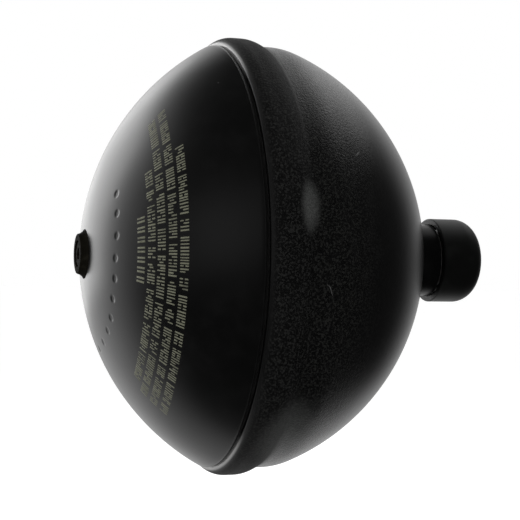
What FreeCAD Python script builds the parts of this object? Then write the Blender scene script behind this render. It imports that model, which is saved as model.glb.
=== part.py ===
import FreeCAD, Part
import math
import os
from FreeCAD import Vector

os.makedirs("parts", exist_ok=True)

# Welded diaphragm accumulator, in millimetres.
# The object is turned about the X axis, with +X out of the hydraulic port and +Z up.
# The origin is on the axis at the shoulder where the port's thread starts.
# Stations of the body are measured from the middle of its raised rim, at RIM_X.

# Drawn half shells: a short skirt each, and a dished end of a knuckle and a spherical crown
WALL = 4.2
BODY_RADIUS = 57.2
GAS_SKIRT = 3.4
GAS_KNUCKLE = 7.8
GAS_DISH = 35.4
FLUID_FLAT = 2.5
FLUID_KNUCKLE = 16.5
FLUID_DISH = 45.1

# Rim of the fluid shell, belled out over the spigot of the gas shell
RIM_RISE = 1.8
RIM_LIP_REACH = 5.2
RIM_LIP_RUN = 3.6
RIM_LIP_DROP = 1.9
RIM_FOOT_REACH = 6.1
RIM_CREST_RADIUS = 7.5
RIM_FOOT_RADIUS = 2.0
SPIGOT_FIT = 0.05
SPIGOT_REACH = 0.5
GROOVE_WIDTH = 1.2
GROOVE_EDGE_ROUND = 0.4
WELD_TOE_AT_GAS_SHELL = 0.4
WELD_TOE_AT_LIP = 1.3
WELD_SAG = 0.25

# Ring that holds the diaphragm's bead, with its flange trapped between the shells
RING_FLANGE = 2.0
RING_FLANGE_FIT = 0.1
RING_SLEEVE_WALL = 1.8
RING_SLEEVE_LENGTH = 6.0

# Rubber diaphragm
RUBBER = 2.0
BEAD_HEIGHT = 3.6
BEAD_LENGTH = 4.2
BEAD_ROUND = 0.8
RUBBER_FIT = 0.1
RUBBER_GAP = 0.3
ROLL_ANGLE = 32.0
CENTRE_REACH = 8.0

# Button in the middle of the diaphragm, which closes the port's mouth
BUTTON_RADIUS = 15.0
BUTTON_THICKNESS = 2.4
BUTTON_EDGE_ROUND = 0.8
BUTTON_SEAT_GAP = 0.1
STEM_RADIUS = 3.0
STEM_HEAD_RADIUS = 4.6
STEM_HEAD_HEIGHT = 1.4
STEM_FIT = 0.05
WASHER_RADIUS = 9.0
WASHER_THICKNESS = 1.5
WASHER_EDGE_ROUND = 0.5

# Fill boss at the gas shell's pole
BOSS_FACE_RADIUS = 5.3
BOSS_FOOT_RADIUS = 6.6
BOSS_STANDOUT = 1.6
BOSS_FLARE_SAG = 0.3
BOSS_EDGE_ROUND = 0.3
BOSS_STEM_RADIUS = 4.6
BOSS_INNER_LENGTH = 1.5
BOSS_FIT = 0.05

# Fill screw with a hexagon socket, and the ring seal under its head
SCREW_HEAD_RADIUS = 3.4
SCREW_HEAD_HEIGHT = 2.2
SCREW_HEAD_RECESS = 0.3
SCREW_HEAD_FIT = 0.15
SCREW_THREAD_RADIUS = 2.0
SCREW_THREAD_FIT = 0.05
SCREW_EDGE = 0.3
SOCKET_ACROSS_FLATS = 3.0
SOCKET_DEPTH = 1.5
FILL_SEAL_CORD = 1.0

# Port neck, with an inner flange, an outside thread and a plain nose
NECK_STANDOUT = 7.0
NECK_SHOULDER = 1.2
NECK_EDGE_ROUND = 0.4
NECK_FLANGE_STEP = 3.3
NECK_FLANGE_EDGE = 1.6
NECK_FIT = 0.05
THREAD_RADIUS = 9.0
THREAD_LENGTH = 6.6
THREAD_CHAMFER = 0.8
NOSE_RADIUS = 7.4
NOSE_LENGTH = 2.9
NOSE_CHAMFER = 0.4
PORT_BORE_RADIUS = 3.0
PORT_SEAL_CORD = 1.5
PORT_SEAL_PROUD = 0.25
PORT_SEAL_SIDE_ROOM = 0.15
PORT_WELD_LEG = 1.4
PORT_WELD_SAG = 0.15

# Restrictor in the port's mouth and the ring that holds it
POCKET_RADIUS = 4.5
RESTRICTOR_LENGTH = 4.0
RESTRICTOR_ORIFICE = 0.8
RESTRICTOR_FIT = 0.05
RESTRICTOR_SLOT_WIDTH = 1.0
RESTRICTOR_SLOT_DEPTH = 0.8
SNAP_RING_WIDTH = 0.7
SNAP_RING_DEPTH = 0.4
SNAP_RING_LIP = 0.8
SNAP_RING_SLIT = 3.0
SNAP_RING_FIT = 0.05
SNAP_RING_TO_MOUTH = 0.8

# Protective cap, pulled over the port's thread
CAP_ROOM = 1.25
CAP_WALL = 1.6
CAP_END_WALL = 1.8
CAP_SEAT_GAP = 0.1
CAP_FLOOR_GAP = 2.2
CAP_END_ROUND = 6.0
CAP_RIM_ROUND = 0.3
CAP_RIB_COUNT = 6
CAP_RIB_WIDTH = 1.2
CAP_RIB_TO_THREAD = 0.3
CAP_RIB_FIT = 0.1

# Points nearer than this are one point
SAME_PLACE = 1e-5


class Section:
    """Closed outline beside the axis, drawn edge by edge and turned into a solid."""

    def __init__(self, x, radius):
        self.start = Vector(x, 0, radius)
        self.here = self.start
        self.edges = []

    def line(self, x, radius):
        end = Vector(x, 0, radius)
        if end.distanceToPoint(self.here) > SAME_PLACE:
            self.edges.append(Part.LineSegment(self.here, end).toShape())
            self.here = end

    def arc(self, centre_x, centre_radius, x, radius):
        """Go to a point by the shorter way round a centre."""
        centre = Vector(centre_x, 0, centre_radius)
        end = Vector(x, 0, radius)
        bisector = (self.here - centre).normalize() + (end - centre).normalize()
        middle = centre + bisector.normalize() * self.here.distanceToPoint(centre)
        self.edges.append(Part.Arc(self.here, middle, end).toShape())
        self.here = end

    def sagging_arc(self, x, radius, sag):
        """Go to a point by an arc that lies a given sag to the right of the chord."""
        end = Vector(x, 0, radius)
        chord = end - self.here
        side = Vector(chord.z, 0, -chord.x).normalize()
        middle = (self.here + end) * 0.5 + side * sag
        self.edges.append(Part.Arc(self.here, middle, end).toShape())
        self.here = end

    def half_turn(self, middle_x, middle_radius, x, radius):
        end = Vector(x, 0, radius)
        self.edges.append(Part.Arc(self.here, Vector(middle_x, 0, middle_radius), end).toShape())
        self.here = end

    def curve(self, start_way, x, radius, end_way):
        """Go to a point by a smooth curve that leaves and arrives along the given ways."""
        end = Vector(x, 0, radius)
        reach = end.distanceToPoint(self.here)
        spline = Part.BSplineCurve()
        spline.interpolate(
            Points=[self.here, end],
            InitialTangent=start_way.normalize() * reach,
            FinalTangent=end_way.normalize() * reach,
        )
        self.edges.append(spline.toShape())
        self.here = end

    def solid(self):
        self.line(self.start.x, self.start.z)
        face = Part.Face(Part.Wire(self.edges))
        turned = face.revolve(Vector(0, 0, 0), Vector(1, 0, 0), 360)
        return turned.Solids[0] if turned.Solids else Part.makeSolid(turned)


class Dome:
    """Half shell's outer form: a skirt, a knuckle and a crown, each tangent to the next.

    The dish is the depth of knuckle and crown together, and the crown's radius follows from it.
    """

    def __init__(self, rim_x, side, radius, skirt, knuckle, dish):
        self.side = side
        self.knuckle = knuckle
        self.knuckle_x = rim_x + side * skirt
        self.knuckle_radius = radius - knuckle
        self.crown = (dish ** 2 + self.knuckle_radius ** 2 - knuckle ** 2) / (2 * (dish - knuckle))
        run = self.crown - dish
        self.crown_x = self.knuckle_x - side * run
        self.joint_angle = math.atan2(run, self.knuckle_radius)

    def on_knuckle(self, angle, inset=0.0):
        """Point of the knuckle at an angle from the skirt's end."""
        reach = self.knuckle - inset
        x = self.knuckle_x + self.side * reach * math.sin(angle)
        return x, self.knuckle_radius + reach * math.cos(angle)

    def joint(self, inset=0.0):
        return self.on_knuckle(self.joint_angle, inset)

    def on_crown(self, radius, inset=0.0):
        """Point of the crown at a distance from the axis."""
        reach = self.crown - inset
        return self.crown_x + self.side * math.sqrt(reach ** 2 - radius ** 2), radius

    def at_crown_angle(self, angle, inset=0.0):
        """Point of the crown at an angle from the plane across its centre."""
        reach = self.crown - inset
        return self.crown_x + self.side * reach * math.sin(angle), reach * math.cos(angle)

    def pole(self, inset=0.0):
        return self.on_crown(0.0, inset)[0]

    def knuckle_angle_at(self, x):
        return math.asin(self.side * (x - self.knuckle_x) / self.knuckle)


def ring_of_cord(x, centre_radius, cord_radius):
    return Part.makeTorus(centre_radius, cord_radius, Vector(x, 0, 0), Vector(1, 0, 0))


def cylinder(x, radius, length):
    return Part.makeCylinder(radius, length, Vector(x, 0, 0), Vector(1, 0, 0))


def is_round_the_axis(edge):
    if edge.Degenerated or not isinstance(edge.Curve, Part.Circle):
        return False
    return abs(edge.Curve.Center.z) < SAME_PLACE


def round_edge(solid, place, radius):
    """Round the circular edge that passes through a point of the section."""
    point = Part.Vertex(Vector(place[0], 0, place[1]))
    circles = [edge for edge in solid.Edges if is_round_the_axis(edge)]
    edges = [circle for circle in circles if circle.distToShape(point)[0] < SAME_PLACE]
    return solid.makeFillet(radius, edges).Solids[0]


def hexagon(x, across_flats, depth):
    corner = across_flats / math.sqrt(3)
    points = []
    for step in range(7):
        angle = math.radians(60 * step)
        points.append(Vector(x, corner * math.cos(angle), corner * math.sin(angle)))
    return Part.Face(Part.makePolygon(points)).extrude(Vector(depth, 0, 0))


def save(shape, node):
    shape.Solids[0].exportStep("parts/" + node + ".step")


# Places that follow from the sizes above
FLUID_SKIRT = RIM_FOOT_REACH + FLUID_FLAT
RIM_X = -(FLUID_SKIRT + FLUID_DISH + NECK_STANDOUT)
GAS_DOME = Dome(RIM_X, -1, BODY_RADIUS, GAS_SKIRT, GAS_KNUCKLE, GAS_DISH)
FLUID_DOME = Dome(RIM_X, 1, BODY_RADIUS, FLUID_SKIRT, FLUID_KNUCKLE, FLUID_DISH)

RIM_RADIUS = BODY_RADIUS + RIM_RISE
INNER_RADIUS = BODY_RADIUS - WALL
SOCKET_RADIUS = INNER_RADIUS + RIM_RISE
SPIGOT_RADIUS = SOCKET_RADIUS - SPIGOT_FIT
LIP_X = RIM_X - RIM_LIP_REACH
GROOVE_X = LIP_X - GROOVE_WIDTH
SPIGOT_END_X = RIM_X + SPIGOT_REACH
SOCKET_FLOOR_X = SPIGOT_END_X + RING_FLANGE

SLEEVE_OUTER = INNER_RADIUS - BEAD_HEIGHT - 2 * RUBBER_FIT
SLEEVE_INNER = SLEEVE_OUTER - RING_SLEEVE_WALL
SLEEVE_END_X = SPIGOT_END_X - RING_SLEEVE_LENGTH

NECK_RADIUS = THREAD_RADIUS + NECK_SHOULDER
NECK_FLANGE_RADIUS = NECK_RADIUS + NECK_FLANGE_STEP
FLANGE_FACE_X = FLUID_DOME.on_crown(NECK_FLANGE_RADIUS, WALL)[0] - NECK_FLANGE_EDGE
BUTTON_SEAT_X = FLANGE_FACE_X - BUTTON_SEAT_GAP
BUTTON_BACK_X = BUTTON_SEAT_X - BUTTON_THICKNESS
RUBBER_BACK_X = BUTTON_BACK_X - 2 * STEM_FIT - RUBBER
WASHER_BACK_X = RUBBER_BACK_X - WASHER_THICKNESS

GAS_POLE_X = GAS_DOME.pole()
BOSS_FACE_X = GAS_POLE_X - BOSS_STANDOUT
BOSS_END_X = GAS_POLE_X + WALL + BOSS_INNER_LENGTH
SCREW_HEAD_X = BOSS_FACE_X + SCREW_HEAD_RECESS
SCREW_SEAT_X = SCREW_HEAD_X + SCREW_HEAD_HEIGHT + FILL_SEAL_CORD

THREAD_END_X = THREAD_LENGTH
NOSE_END_X = THREAD_LENGTH + NOSE_LENGTH
SNAP_RING_X = NOSE_END_X - SNAP_RING_TO_MOUTH - SNAP_RING_WIDTH
RESTRICTOR_X = SNAP_RING_X - RESTRICTOR_LENGTH
SEAL_GROOVE_X = THREAD_END_X + (NOSE_LENGTH - PORT_SEAL_CORD) / 2 - PORT_SEAL_SIDE_ROOM


def gas_shell():
    """Left half shell, with a spigot turned on its rim and a hole at its pole."""
    hole = BOSS_STEM_RADIUS + BOSS_FIT
    round_angle = GAS_DOME.knuckle_angle_at(GROOVE_X - GROOVE_EDGE_ROUND)
    round_start = GAS_DOME.on_knuckle(round_angle)
    along_knuckle = Vector(math.cos(round_angle), 0, math.sin(round_angle))
    section = Section(*GAS_DOME.on_crown(hole))
    section.arc(GAS_DOME.crown_x, 0, *GAS_DOME.joint())
    section.arc(GAS_DOME.knuckle_x, GAS_DOME.knuckle_radius, *round_start)
    section.curve(along_knuckle, GROOVE_X, round_start[1] - GROOVE_EDGE_ROUND / 2, Vector(0, 0, -1))
    section.line(GROOVE_X, SPIGOT_RADIUS)
    section.line(SPIGOT_END_X, SPIGOT_RADIUS)
    section.line(SPIGOT_END_X, INNER_RADIUS)
    section.line(*GAS_DOME.on_knuckle(0, WALL))
    section.arc(GAS_DOME.knuckle_x, GAS_DOME.knuckle_radius, *GAS_DOME.joint(WALL))
    section.arc(GAS_DOME.crown_x, 0, *GAS_DOME.on_crown(hole, WALL))
    return section.solid()


def fluid_shell():
    """Right half shell, with its rim belled out and a hole for the port neck."""
    hole = NECK_RADIUS + NECK_FIT
    foot_x = RIM_X + RIM_FOOT_REACH
    flank_angle = math.acos(1 - RIM_RISE / (RIM_CREST_RADIUS + RIM_FOOT_RADIUS))
    crest_end_x = foot_x - (RIM_CREST_RADIUS + RIM_FOOT_RADIUS) * math.sin(flank_angle)
    flank_x = crest_end_x + RIM_CREST_RADIUS * math.sin(flank_angle)
    flank_radius = RIM_RADIUS - RIM_CREST_RADIUS * (1 - math.cos(flank_angle))
    lip_round = (RIM_LIP_RUN ** 2 + RIM_LIP_DROP ** 2) / (2 * RIM_LIP_DROP)
    crest_start_x = LIP_X + RIM_LIP_RUN
    section = Section(LIP_X, SOCKET_RADIUS)
    section.line(LIP_X, RIM_RADIUS - RIM_LIP_DROP)
    section.arc(crest_start_x, RIM_RADIUS - lip_round, crest_start_x, RIM_RADIUS)
    section.line(crest_end_x, RIM_RADIUS)
    section.arc(crest_end_x, RIM_RADIUS - RIM_CREST_RADIUS, flank_x, flank_radius)
    section.arc(foot_x, BODY_RADIUS + RIM_FOOT_RADIUS, foot_x, BODY_RADIUS)
    section.line(*FLUID_DOME.on_knuckle(0))
    section.arc(FLUID_DOME.knuckle_x, FLUID_DOME.knuckle_radius, *FLUID_DOME.joint())
    section.arc(FLUID_DOME.crown_x, 0, *FLUID_DOME.on_crown(hole))
    section.line(*FLUID_DOME.on_crown(hole, WALL))
    section.arc(FLUID_DOME.crown_x, 0, *FLUID_DOME.joint(WALL))
    section.arc(FLUID_DOME.knuckle_x, FLUID_DOME.knuckle_radius, *FLUID_DOME.on_knuckle(0, WALL))
    section.line(SOCKET_FLOOR_X, INNER_RADIUS)
    section.line(SOCKET_FLOOR_X, SOCKET_RADIUS)
    return section.solid()


def rim_weld_bead():
    """Weld in the groove between the gas shell's shoulder and the belled lip."""
    section = Section(GROOVE_X, SPIGOT_RADIUS)
    section.line(LIP_X, SPIGOT_RADIUS)
    section.line(LIP_X, SPIGOT_RADIUS + WELD_TOE_AT_LIP)
    section.sagging_arc(GROOVE_X, SPIGOT_RADIUS + WELD_TOE_AT_GAS_SHELL, -WELD_SAG)
    return section.solid()


def diaphragm_retaining_ring():
    """Ring with a flange between the shells and a sleeve inside the bead."""
    flange_outer = SPIGOT_RADIUS - RING_FLANGE_FIT
    nose_middle = (SLEEVE_OUTER + SLEEVE_INNER) / 2
    nose_round = RING_SLEEVE_WALL / 2
    section = Section(SOCKET_FLOOR_X, SLEEVE_INNER)
    section.line(SOCKET_FLOOR_X, flange_outer)
    section.line(SPIGOT_END_X, flange_outer)
    section.line(SPIGOT_END_X, SLEEVE_OUTER)
    section.line(SLEEVE_END_X + nose_round, SLEEVE_OUTER)
    section.half_turn(SLEEVE_END_X, nose_middle, SLEEVE_END_X + nose_round, SLEEVE_INNER)
    return section.solid()


def diaphragm():
    """Rubber wall: a bead, a fold round the ring's nose, a lining of the fluid shell and a flat centre."""
    nose_x = SLEEVE_END_X + RING_SLEEVE_WALL / 2
    nose_middle = (SLEEVE_OUTER + SLEEVE_INNER) / 2
    fold_inner = RING_SLEEVE_WALL / 2 + RUBBER_FIT
    fold_outer = fold_inner + RUBBER
    bead_outer = INNER_RADIUS - RUBBER_FIT
    bead_right = SPIGOT_END_X - RUBBER_FIT
    bead_left = bead_right - BEAD_LENGTH
    fluid_inset = WALL + RUBBER_GAP
    gas_inset = fluid_inset + RUBBER
    roll = math.radians(ROLL_ANGLE)
    along_wall = Vector(math.cos(roll), 0, -math.sin(roll))
    along_axis = Vector(1, 0, 0)
    outward = Vector(0, 0, 1)
    lining_edge = BUTTON_RADIUS + CENTRE_REACH
    flat_radius = BUTTON_RADIUS - BUTTON_EDGE_ROUND
    rubber_face_x = RUBBER_BACK_X + RUBBER
    hole = STEM_RADIUS + STEM_FIT

    section = Section(bead_right, nose_middle + fold_inner)
    section.line(bead_right, bead_outer)
    section.line(bead_left, bead_outer)
    section.line(bead_left, nose_middle + fold_outer)
    section.line(nose_x, nose_middle + fold_outer)
    section.half_turn(nose_x - fold_outer, nose_middle, nose_x, nose_middle - fold_outer)
    section.line(SOCKET_FLOOR_X, nose_middle - fold_outer)
    section.curve(along_axis, *FLUID_DOME.at_crown_angle(roll, gas_inset), along_wall)
    gas_edge = FLUID_DOME.on_crown(lining_edge, gas_inset)
    section.arc(FLUID_DOME.crown_x, 0, *gas_edge)
    section.curve(down_the_crown(gas_edge), RUBBER_BACK_X, flat_radius, outward * -1)
    section.line(RUBBER_BACK_X, hole)
    section.line(rubber_face_x, hole)
    section.line(rubber_face_x, flat_radius)
    fluid_edge = FLUID_DOME.on_crown(lining_edge, fluid_inset)
    section.curve(outward, *fluid_edge, down_the_crown(fluid_edge) * -1)
    section.arc(FLUID_DOME.crown_x, 0, *FLUID_DOME.at_crown_angle(roll, fluid_inset))
    section.curve(along_wall * -1, SOCKET_FLOOR_X, nose_middle - fold_inner, along_axis * -1)
    section.line(nose_x, nose_middle - fold_inner)
    section.half_turn(nose_x - fold_inner, nose_middle, nose_x, nose_middle + fold_inner)
    rubber = section.solid()
    for x in (bead_left, bead_right):
        rubber = round_edge(rubber, (x, bead_outer), BEAD_ROUND)
    return rubber


def down_the_crown(place):
    """Way along the fluid shell's crown towards its pole."""
    from_centre = Vector(place[0] - FLUID_DOME.crown_x, 0, place[1])
    return Vector(from_centre.z, 0, -from_centre.x)


def diaphragm_button():
    """Disc that closes the port's mouth, with a stem through the rubber and a headed end."""
    section = Section(BUTTON_SEAT_X, 0)
    section.line(BUTTON_SEAT_X, BUTTON_RADIUS)
    section.line(BUTTON_BACK_X, BUTTON_RADIUS)
    section.line(BUTTON_BACK_X, STEM_RADIUS)
    section.line(WASHER_BACK_X, STEM_RADIUS)
    section.line(WASHER_BACK_X, STEM_HEAD_RADIUS)
    head_sphere = (STEM_HEAD_HEIGHT ** 2 + STEM_HEAD_RADIUS ** 2) / (2 * STEM_HEAD_HEIGHT)
    head_top_x = WASHER_BACK_X - STEM_HEAD_HEIGHT
    section.arc(head_top_x + head_sphere, 0, head_top_x, 0)
    button = section.solid()
    for x in (BUTTON_SEAT_X, BUTTON_BACK_X):
        button = round_edge(button, (x, BUTTON_RADIUS), BUTTON_EDGE_ROUND)
    return button


def button_back_washer():
    """Plate behind the rubber, held by the stem's head."""
    section = Section(WASHER_BACK_X, STEM_RADIUS + STEM_FIT)
    section.line(WASHER_BACK_X, WASHER_RADIUS)
    section.line(RUBBER_BACK_X - STEM_FIT, WASHER_RADIUS)
    section.line(RUBBER_BACK_X - STEM_FIT, STEM_RADIUS + STEM_FIT)
    return round_edge(section.solid(), (WASHER_BACK_X, WASHER_RADIUS), WASHER_EDGE_ROUND)


def fill_boss():
    """Flared boss through the gas shell's pole, bored for the fill screw."""
    foot = GAS_DOME.on_crown(BOSS_FOOT_RADIUS)
    head_room = SCREW_HEAD_RADIUS + SCREW_HEAD_FIT
    thread_room = SCREW_THREAD_RADIUS + SCREW_THREAD_FIT
    section = Section(BOSS_FACE_X, head_room)
    section.line(BOSS_FACE_X, BOSS_FACE_RADIUS)
    section.sagging_arc(*foot, BOSS_FLARE_SAG)
    section.arc(GAS_DOME.crown_x, 0, *GAS_DOME.on_crown(BOSS_STEM_RADIUS))
    section.line(BOSS_END_X, BOSS_STEM_RADIUS)
    section.line(BOSS_END_X, thread_room)
    section.line(SCREW_SEAT_X, thread_room)
    section.line(SCREW_SEAT_X, head_room)
    return round_edge(section.solid(), (BOSS_FACE_X, BOSS_FACE_RADIUS), BOSS_EDGE_ROUND)


def fill_screw():
    """Socket screw, flush in the boss."""
    section = Section(SCREW_HEAD_X, 0)
    section.line(SCREW_HEAD_X, SCREW_HEAD_RADIUS - SCREW_EDGE)
    section.line(SCREW_HEAD_X + SCREW_EDGE, SCREW_HEAD_RADIUS)
    section.line(SCREW_HEAD_X + SCREW_HEAD_HEIGHT, SCREW_HEAD_RADIUS)
    section.line(SCREW_HEAD_X + SCREW_HEAD_HEIGHT, SCREW_THREAD_RADIUS)
    section.line(BOSS_END_X - SCREW_EDGE, SCREW_THREAD_RADIUS)
    section.line(BOSS_END_X, SCREW_THREAD_RADIUS - SCREW_EDGE)
    section.line(BOSS_END_X, 0)
    return section.solid().cut(hexagon(SCREW_HEAD_X, SOCKET_ACROSS_FLATS, SOCKET_DEPTH))


def fill_screw_seal():
    """Ring seal round the screw's shank, under its head."""
    cord = FILL_SEAL_CORD / 2
    x = SCREW_HEAD_X + SCREW_HEAD_HEIGHT + cord
    return ring_of_cord(x, SCREW_THREAD_RADIUS + SCREW_THREAD_FIT + cord, cord)


def port_fitting():
    """Turned neck: an inner flange, a stem through the shell, the thread and a grooved nose."""
    flange_foot = FLUID_DOME.on_crown(NECK_FLANGE_RADIUS, WALL)
    groove_floor = NOSE_RADIUS + PORT_SEAL_PROUD - PORT_SEAL_CORD
    groove_end_x = SEAL_GROOVE_X + PORT_SEAL_CORD + 2 * PORT_SEAL_SIDE_ROOM
    ring_groove = POCKET_RADIUS + SNAP_RING_DEPTH
    section = Section(FLANGE_FACE_X, PORT_BORE_RADIUS)
    section.line(FLANGE_FACE_X, NECK_FLANGE_RADIUS)
    section.line(*flange_foot)
    section.arc(FLUID_DOME.crown_x, 0, *FLUID_DOME.on_crown(NECK_RADIUS, WALL))
    section.line(0, NECK_RADIUS)
    section.line(0, THREAD_RADIUS)
    section.line(THREAD_END_X - THREAD_CHAMFER, THREAD_RADIUS)
    section.line(THREAD_END_X, THREAD_RADIUS - THREAD_CHAMFER)
    section.line(THREAD_END_X, NOSE_RADIUS)
    section.line(SEAL_GROOVE_X, NOSE_RADIUS)
    section.line(SEAL_GROOVE_X, groove_floor)
    section.line(groove_end_x, groove_floor)
    section.line(groove_end_x, NOSE_RADIUS)
    section.line(NOSE_END_X - NOSE_CHAMFER, NOSE_RADIUS)
    section.line(NOSE_END_X, NOSE_RADIUS - NOSE_CHAMFER)
    section.line(NOSE_END_X, POCKET_RADIUS)
    section.line(SNAP_RING_X + SNAP_RING_WIDTH, POCKET_RADIUS)
    section.line(SNAP_RING_X + SNAP_RING_WIDTH, ring_groove)
    section.line(SNAP_RING_X, ring_groove)
    section.line(SNAP_RING_X, POCKET_RADIUS)
    section.line(RESTRICTOR_X, POCKET_RADIUS)
    section.line(RESTRICTOR_X, PORT_BORE_RADIUS)
    return round_edge(section.solid(), (0, NECK_RADIUS), NECK_EDGE_ROUND)


def port_weld_bead():
    """Fillet weld round the foot of the neck."""
    outer_foot = FLUID_DOME.on_crown(NECK_RADIUS + PORT_WELD_LEG)
    inner_foot = FLUID_DOME.on_crown(NECK_RADIUS)
    section = Section(*outer_foot)
    section.arc(FLUID_DOME.crown_x, 0, *inner_foot)
    section.line(inner_foot[0] + PORT_WELD_LEG, NECK_RADIUS)
    section.sagging_arc(*outer_foot, -PORT_WELD_SAG)
    return section.solid()


def port_seal_ring():
    """O-ring in the groove of the port's nose."""
    cord = PORT_SEAL_CORD / 2
    x = SEAL_GROOVE_X + PORT_SEAL_SIDE_ROOM + cord
    return ring_of_cord(x, NOSE_RADIUS + PORT_SEAL_PROUD - cord, cord)


def restrictor_insert():
    """Insert with a small orifice and a driver slot across its outer face."""
    body = cylinder(RESTRICTOR_X, POCKET_RADIUS - RESTRICTOR_FIT, RESTRICTOR_LENGTH)
    body = body.cut(cylinder(RESTRICTOR_X, RESTRICTOR_ORIFICE, RESTRICTOR_LENGTH))
    slot = Part.makeBox(
        RESTRICTOR_SLOT_DEPTH,
        2 * POCKET_RADIUS,
        RESTRICTOR_SLOT_WIDTH,
        Vector(SNAP_RING_X - RESTRICTOR_SLOT_DEPTH, -POCKET_RADIUS, -RESTRICTOR_SLOT_WIDTH / 2),
    )
    return body.cut(slot)


def restrictor_snap_ring():
    """Split ring sprung into its groove in front of the insert."""
    outer = POCKET_RADIUS + SNAP_RING_DEPTH - SNAP_RING_FIT
    ring = cylinder(SNAP_RING_X, outer, SNAP_RING_WIDTH)
    ring = ring.cut(cylinder(SNAP_RING_X, POCKET_RADIUS - SNAP_RING_LIP, SNAP_RING_WIDTH))
    slit = Part.makeBox(
        SNAP_RING_WIDTH,
        SNAP_RING_SLIT,
        2 * outer,
        Vector(SNAP_RING_X, -SNAP_RING_SLIT / 2, -2 * outer),
    )
    return ring.cut(slit)


def thread_cap():
    """Plastic cup over the thread, with ribs at its floor that grip the nose by its seal ring."""
    rim_x = CAP_SEAT_GAP
    floor_x = NOSE_END_X + CAP_FLOOR_GAP
    end_x = floor_x + CAP_END_WALL
    inside = THREAD_RADIUS + CAP_ROOM
    outside = inside + CAP_WALL
    plug = cylinder(rim_x, outside, end_x - rim_x)
    plug = round_edge(plug, (end_x, outside), CAP_END_ROUND)
    plug = round_edge(plug, (rim_x, outside), CAP_RIM_ROUND)
    room = cylinder(rim_x, inside, floor_x - rim_x)
    cup = plug.cut(round_edge(room, (floor_x, inside), CAP_END_ROUND - CAP_END_WALL))
    rib_x = THREAD_END_X + CAP_RIB_TO_THREAD
    grip = cylinder(rib_x, NOSE_RADIUS + PORT_SEAL_PROUD + CAP_RIB_FIT, floor_x - rib_x)
    for number in range(CAP_RIB_COUNT):
        rib = Part.makeBox(
            floor_x - rib_x,
            CAP_RIB_WIDTH,
            inside + CAP_WALL / 2,
            Vector(rib_x, -CAP_RIB_WIDTH / 2, 0),
        )
        rib.rotate(Vector(0, 0, 0), Vector(1, 0, 0), 360 * number / CAP_RIB_COUNT)
        cup = cup.fuse(rib.cut(grip).common(plug))
    return cup.removeSplitter()


PIECES = (
    gas_shell,
    fluid_shell,
    rim_weld_bead,
    diaphragm_retaining_ring,
    diaphragm,
    diaphragm_button,
    button_back_washer,
    fill_boss,
    fill_screw,
    fill_screw_seal,
    port_fitting,
    port_weld_bead,
    port_seal_ring,
    restrictor_insert,
    restrictor_snap_ring,
    thread_cap,
)

for piece in PIECES:
    save(piece(), piece.__name__)
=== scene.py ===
"""Looks of a welded diaphragm accumulator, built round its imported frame."""

import logging
import math
from collections.abc import Sequence
from dataclasses import dataclass, field, replace
from enum import Enum
from functools import partial, reduce

import bpy
import numpy as np
from mathutils import Matrix, Vector


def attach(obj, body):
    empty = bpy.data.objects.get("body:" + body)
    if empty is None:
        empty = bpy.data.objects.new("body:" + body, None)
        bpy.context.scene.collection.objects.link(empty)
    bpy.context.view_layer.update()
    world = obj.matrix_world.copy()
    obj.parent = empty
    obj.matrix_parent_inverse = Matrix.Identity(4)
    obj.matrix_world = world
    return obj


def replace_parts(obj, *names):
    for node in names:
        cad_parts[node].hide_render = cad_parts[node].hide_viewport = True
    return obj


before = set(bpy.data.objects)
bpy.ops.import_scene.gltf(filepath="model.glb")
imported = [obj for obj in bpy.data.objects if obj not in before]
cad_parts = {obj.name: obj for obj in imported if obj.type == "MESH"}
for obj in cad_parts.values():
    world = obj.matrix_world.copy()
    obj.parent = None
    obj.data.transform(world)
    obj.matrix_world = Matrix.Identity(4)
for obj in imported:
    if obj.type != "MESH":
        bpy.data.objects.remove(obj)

LOG = logging.getLogger("accumulator")

MM = 0.001
SEED = 27
VESSEL = "vessel"
CAP = "cap"
CENTRE = "diaphragm_centre"

# Stations on the axis and radii that several pieces share, in millimetres
RIM_X = -60.7
GROOVE_X = RIM_X - 6.4
LIP_X = RIM_X - 5.2
POLE_X = RIM_X - 38.8
BOSS_FACE_X = POLE_X - 1.6
SPIGOT_R = 54.75
INNER_R = 53.0
NECK_R = 10.2
WALL = 4.2

Pair = tuple[float, float]
Triple = tuple[float, float, float]
Tree = bpy.types.NodeTree
Node = bpy.types.Node
Socket = bpy.types.NodeSocket
Material = bpy.types.Material
Piece = bpy.types.Object


class Tone(Enum):
    """Base colours of the finishes, as linear red, green and blue."""

    PAINT = (0.0023, 0.0023, 0.0024)
    PAINT_WORN = (0.0075, 0.0075, 0.0073)
    PLASTIC = (0.0032, 0.0037, 0.0033)
    PLASTIC_SCUFF = (0.012, 0.0135, 0.012)
    BELT_SPECK = (0.0155, 0.016, 0.0145)
    # Painted highlight: a light metal-like tone on the lip's edge, used only at its top and bottom.
    LIP_PAINTED_HIGHLIGHT = (0.3, 0.3, 0.295)
    # Weld paint lightened as painted fill light, lifting the shade in the rim's groove.
    WELD_PAINTED_FILL = (0.018, 0.018, 0.0175)
    WELD_WORN_PAINTED_FILL = (0.035, 0.035, 0.034)
    # Painted highlight and painted sheen on the belt, laid as soft light patches.
    PAINTED_SHEEN = (0.07, 0.073, 0.07)
    SCRATCH = (0.2, 0.2, 0.195)
    OXIDE = (0.0075, 0.0068, 0.005)
    OXIDE_WORN = (0.02, 0.018, 0.013)
    RUBBER = (0.012, 0.012, 0.012)
    RUBBER_BLOOM = (0.035, 0.035, 0.034)
    STEEL = (0.42, 0.42, 0.42)
    STEEL_DARK = (0.16, 0.155, 0.15)
    BRASS = (0.62, 0.43, 0.17)
    BRASS_DARK = (0.28, 0.18, 0.07)
    INK = (0.205, 0.208, 0.145)
    INK_WORN = (0.085, 0.087, 0.06)

    @property
    def rgba(self) -> tuple[float, ...]:
        """The colour with full alpha."""
        return (*self.value, 1.0)


# Lines beside the axis, in millimetres, as rows of (x, radius)


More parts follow.
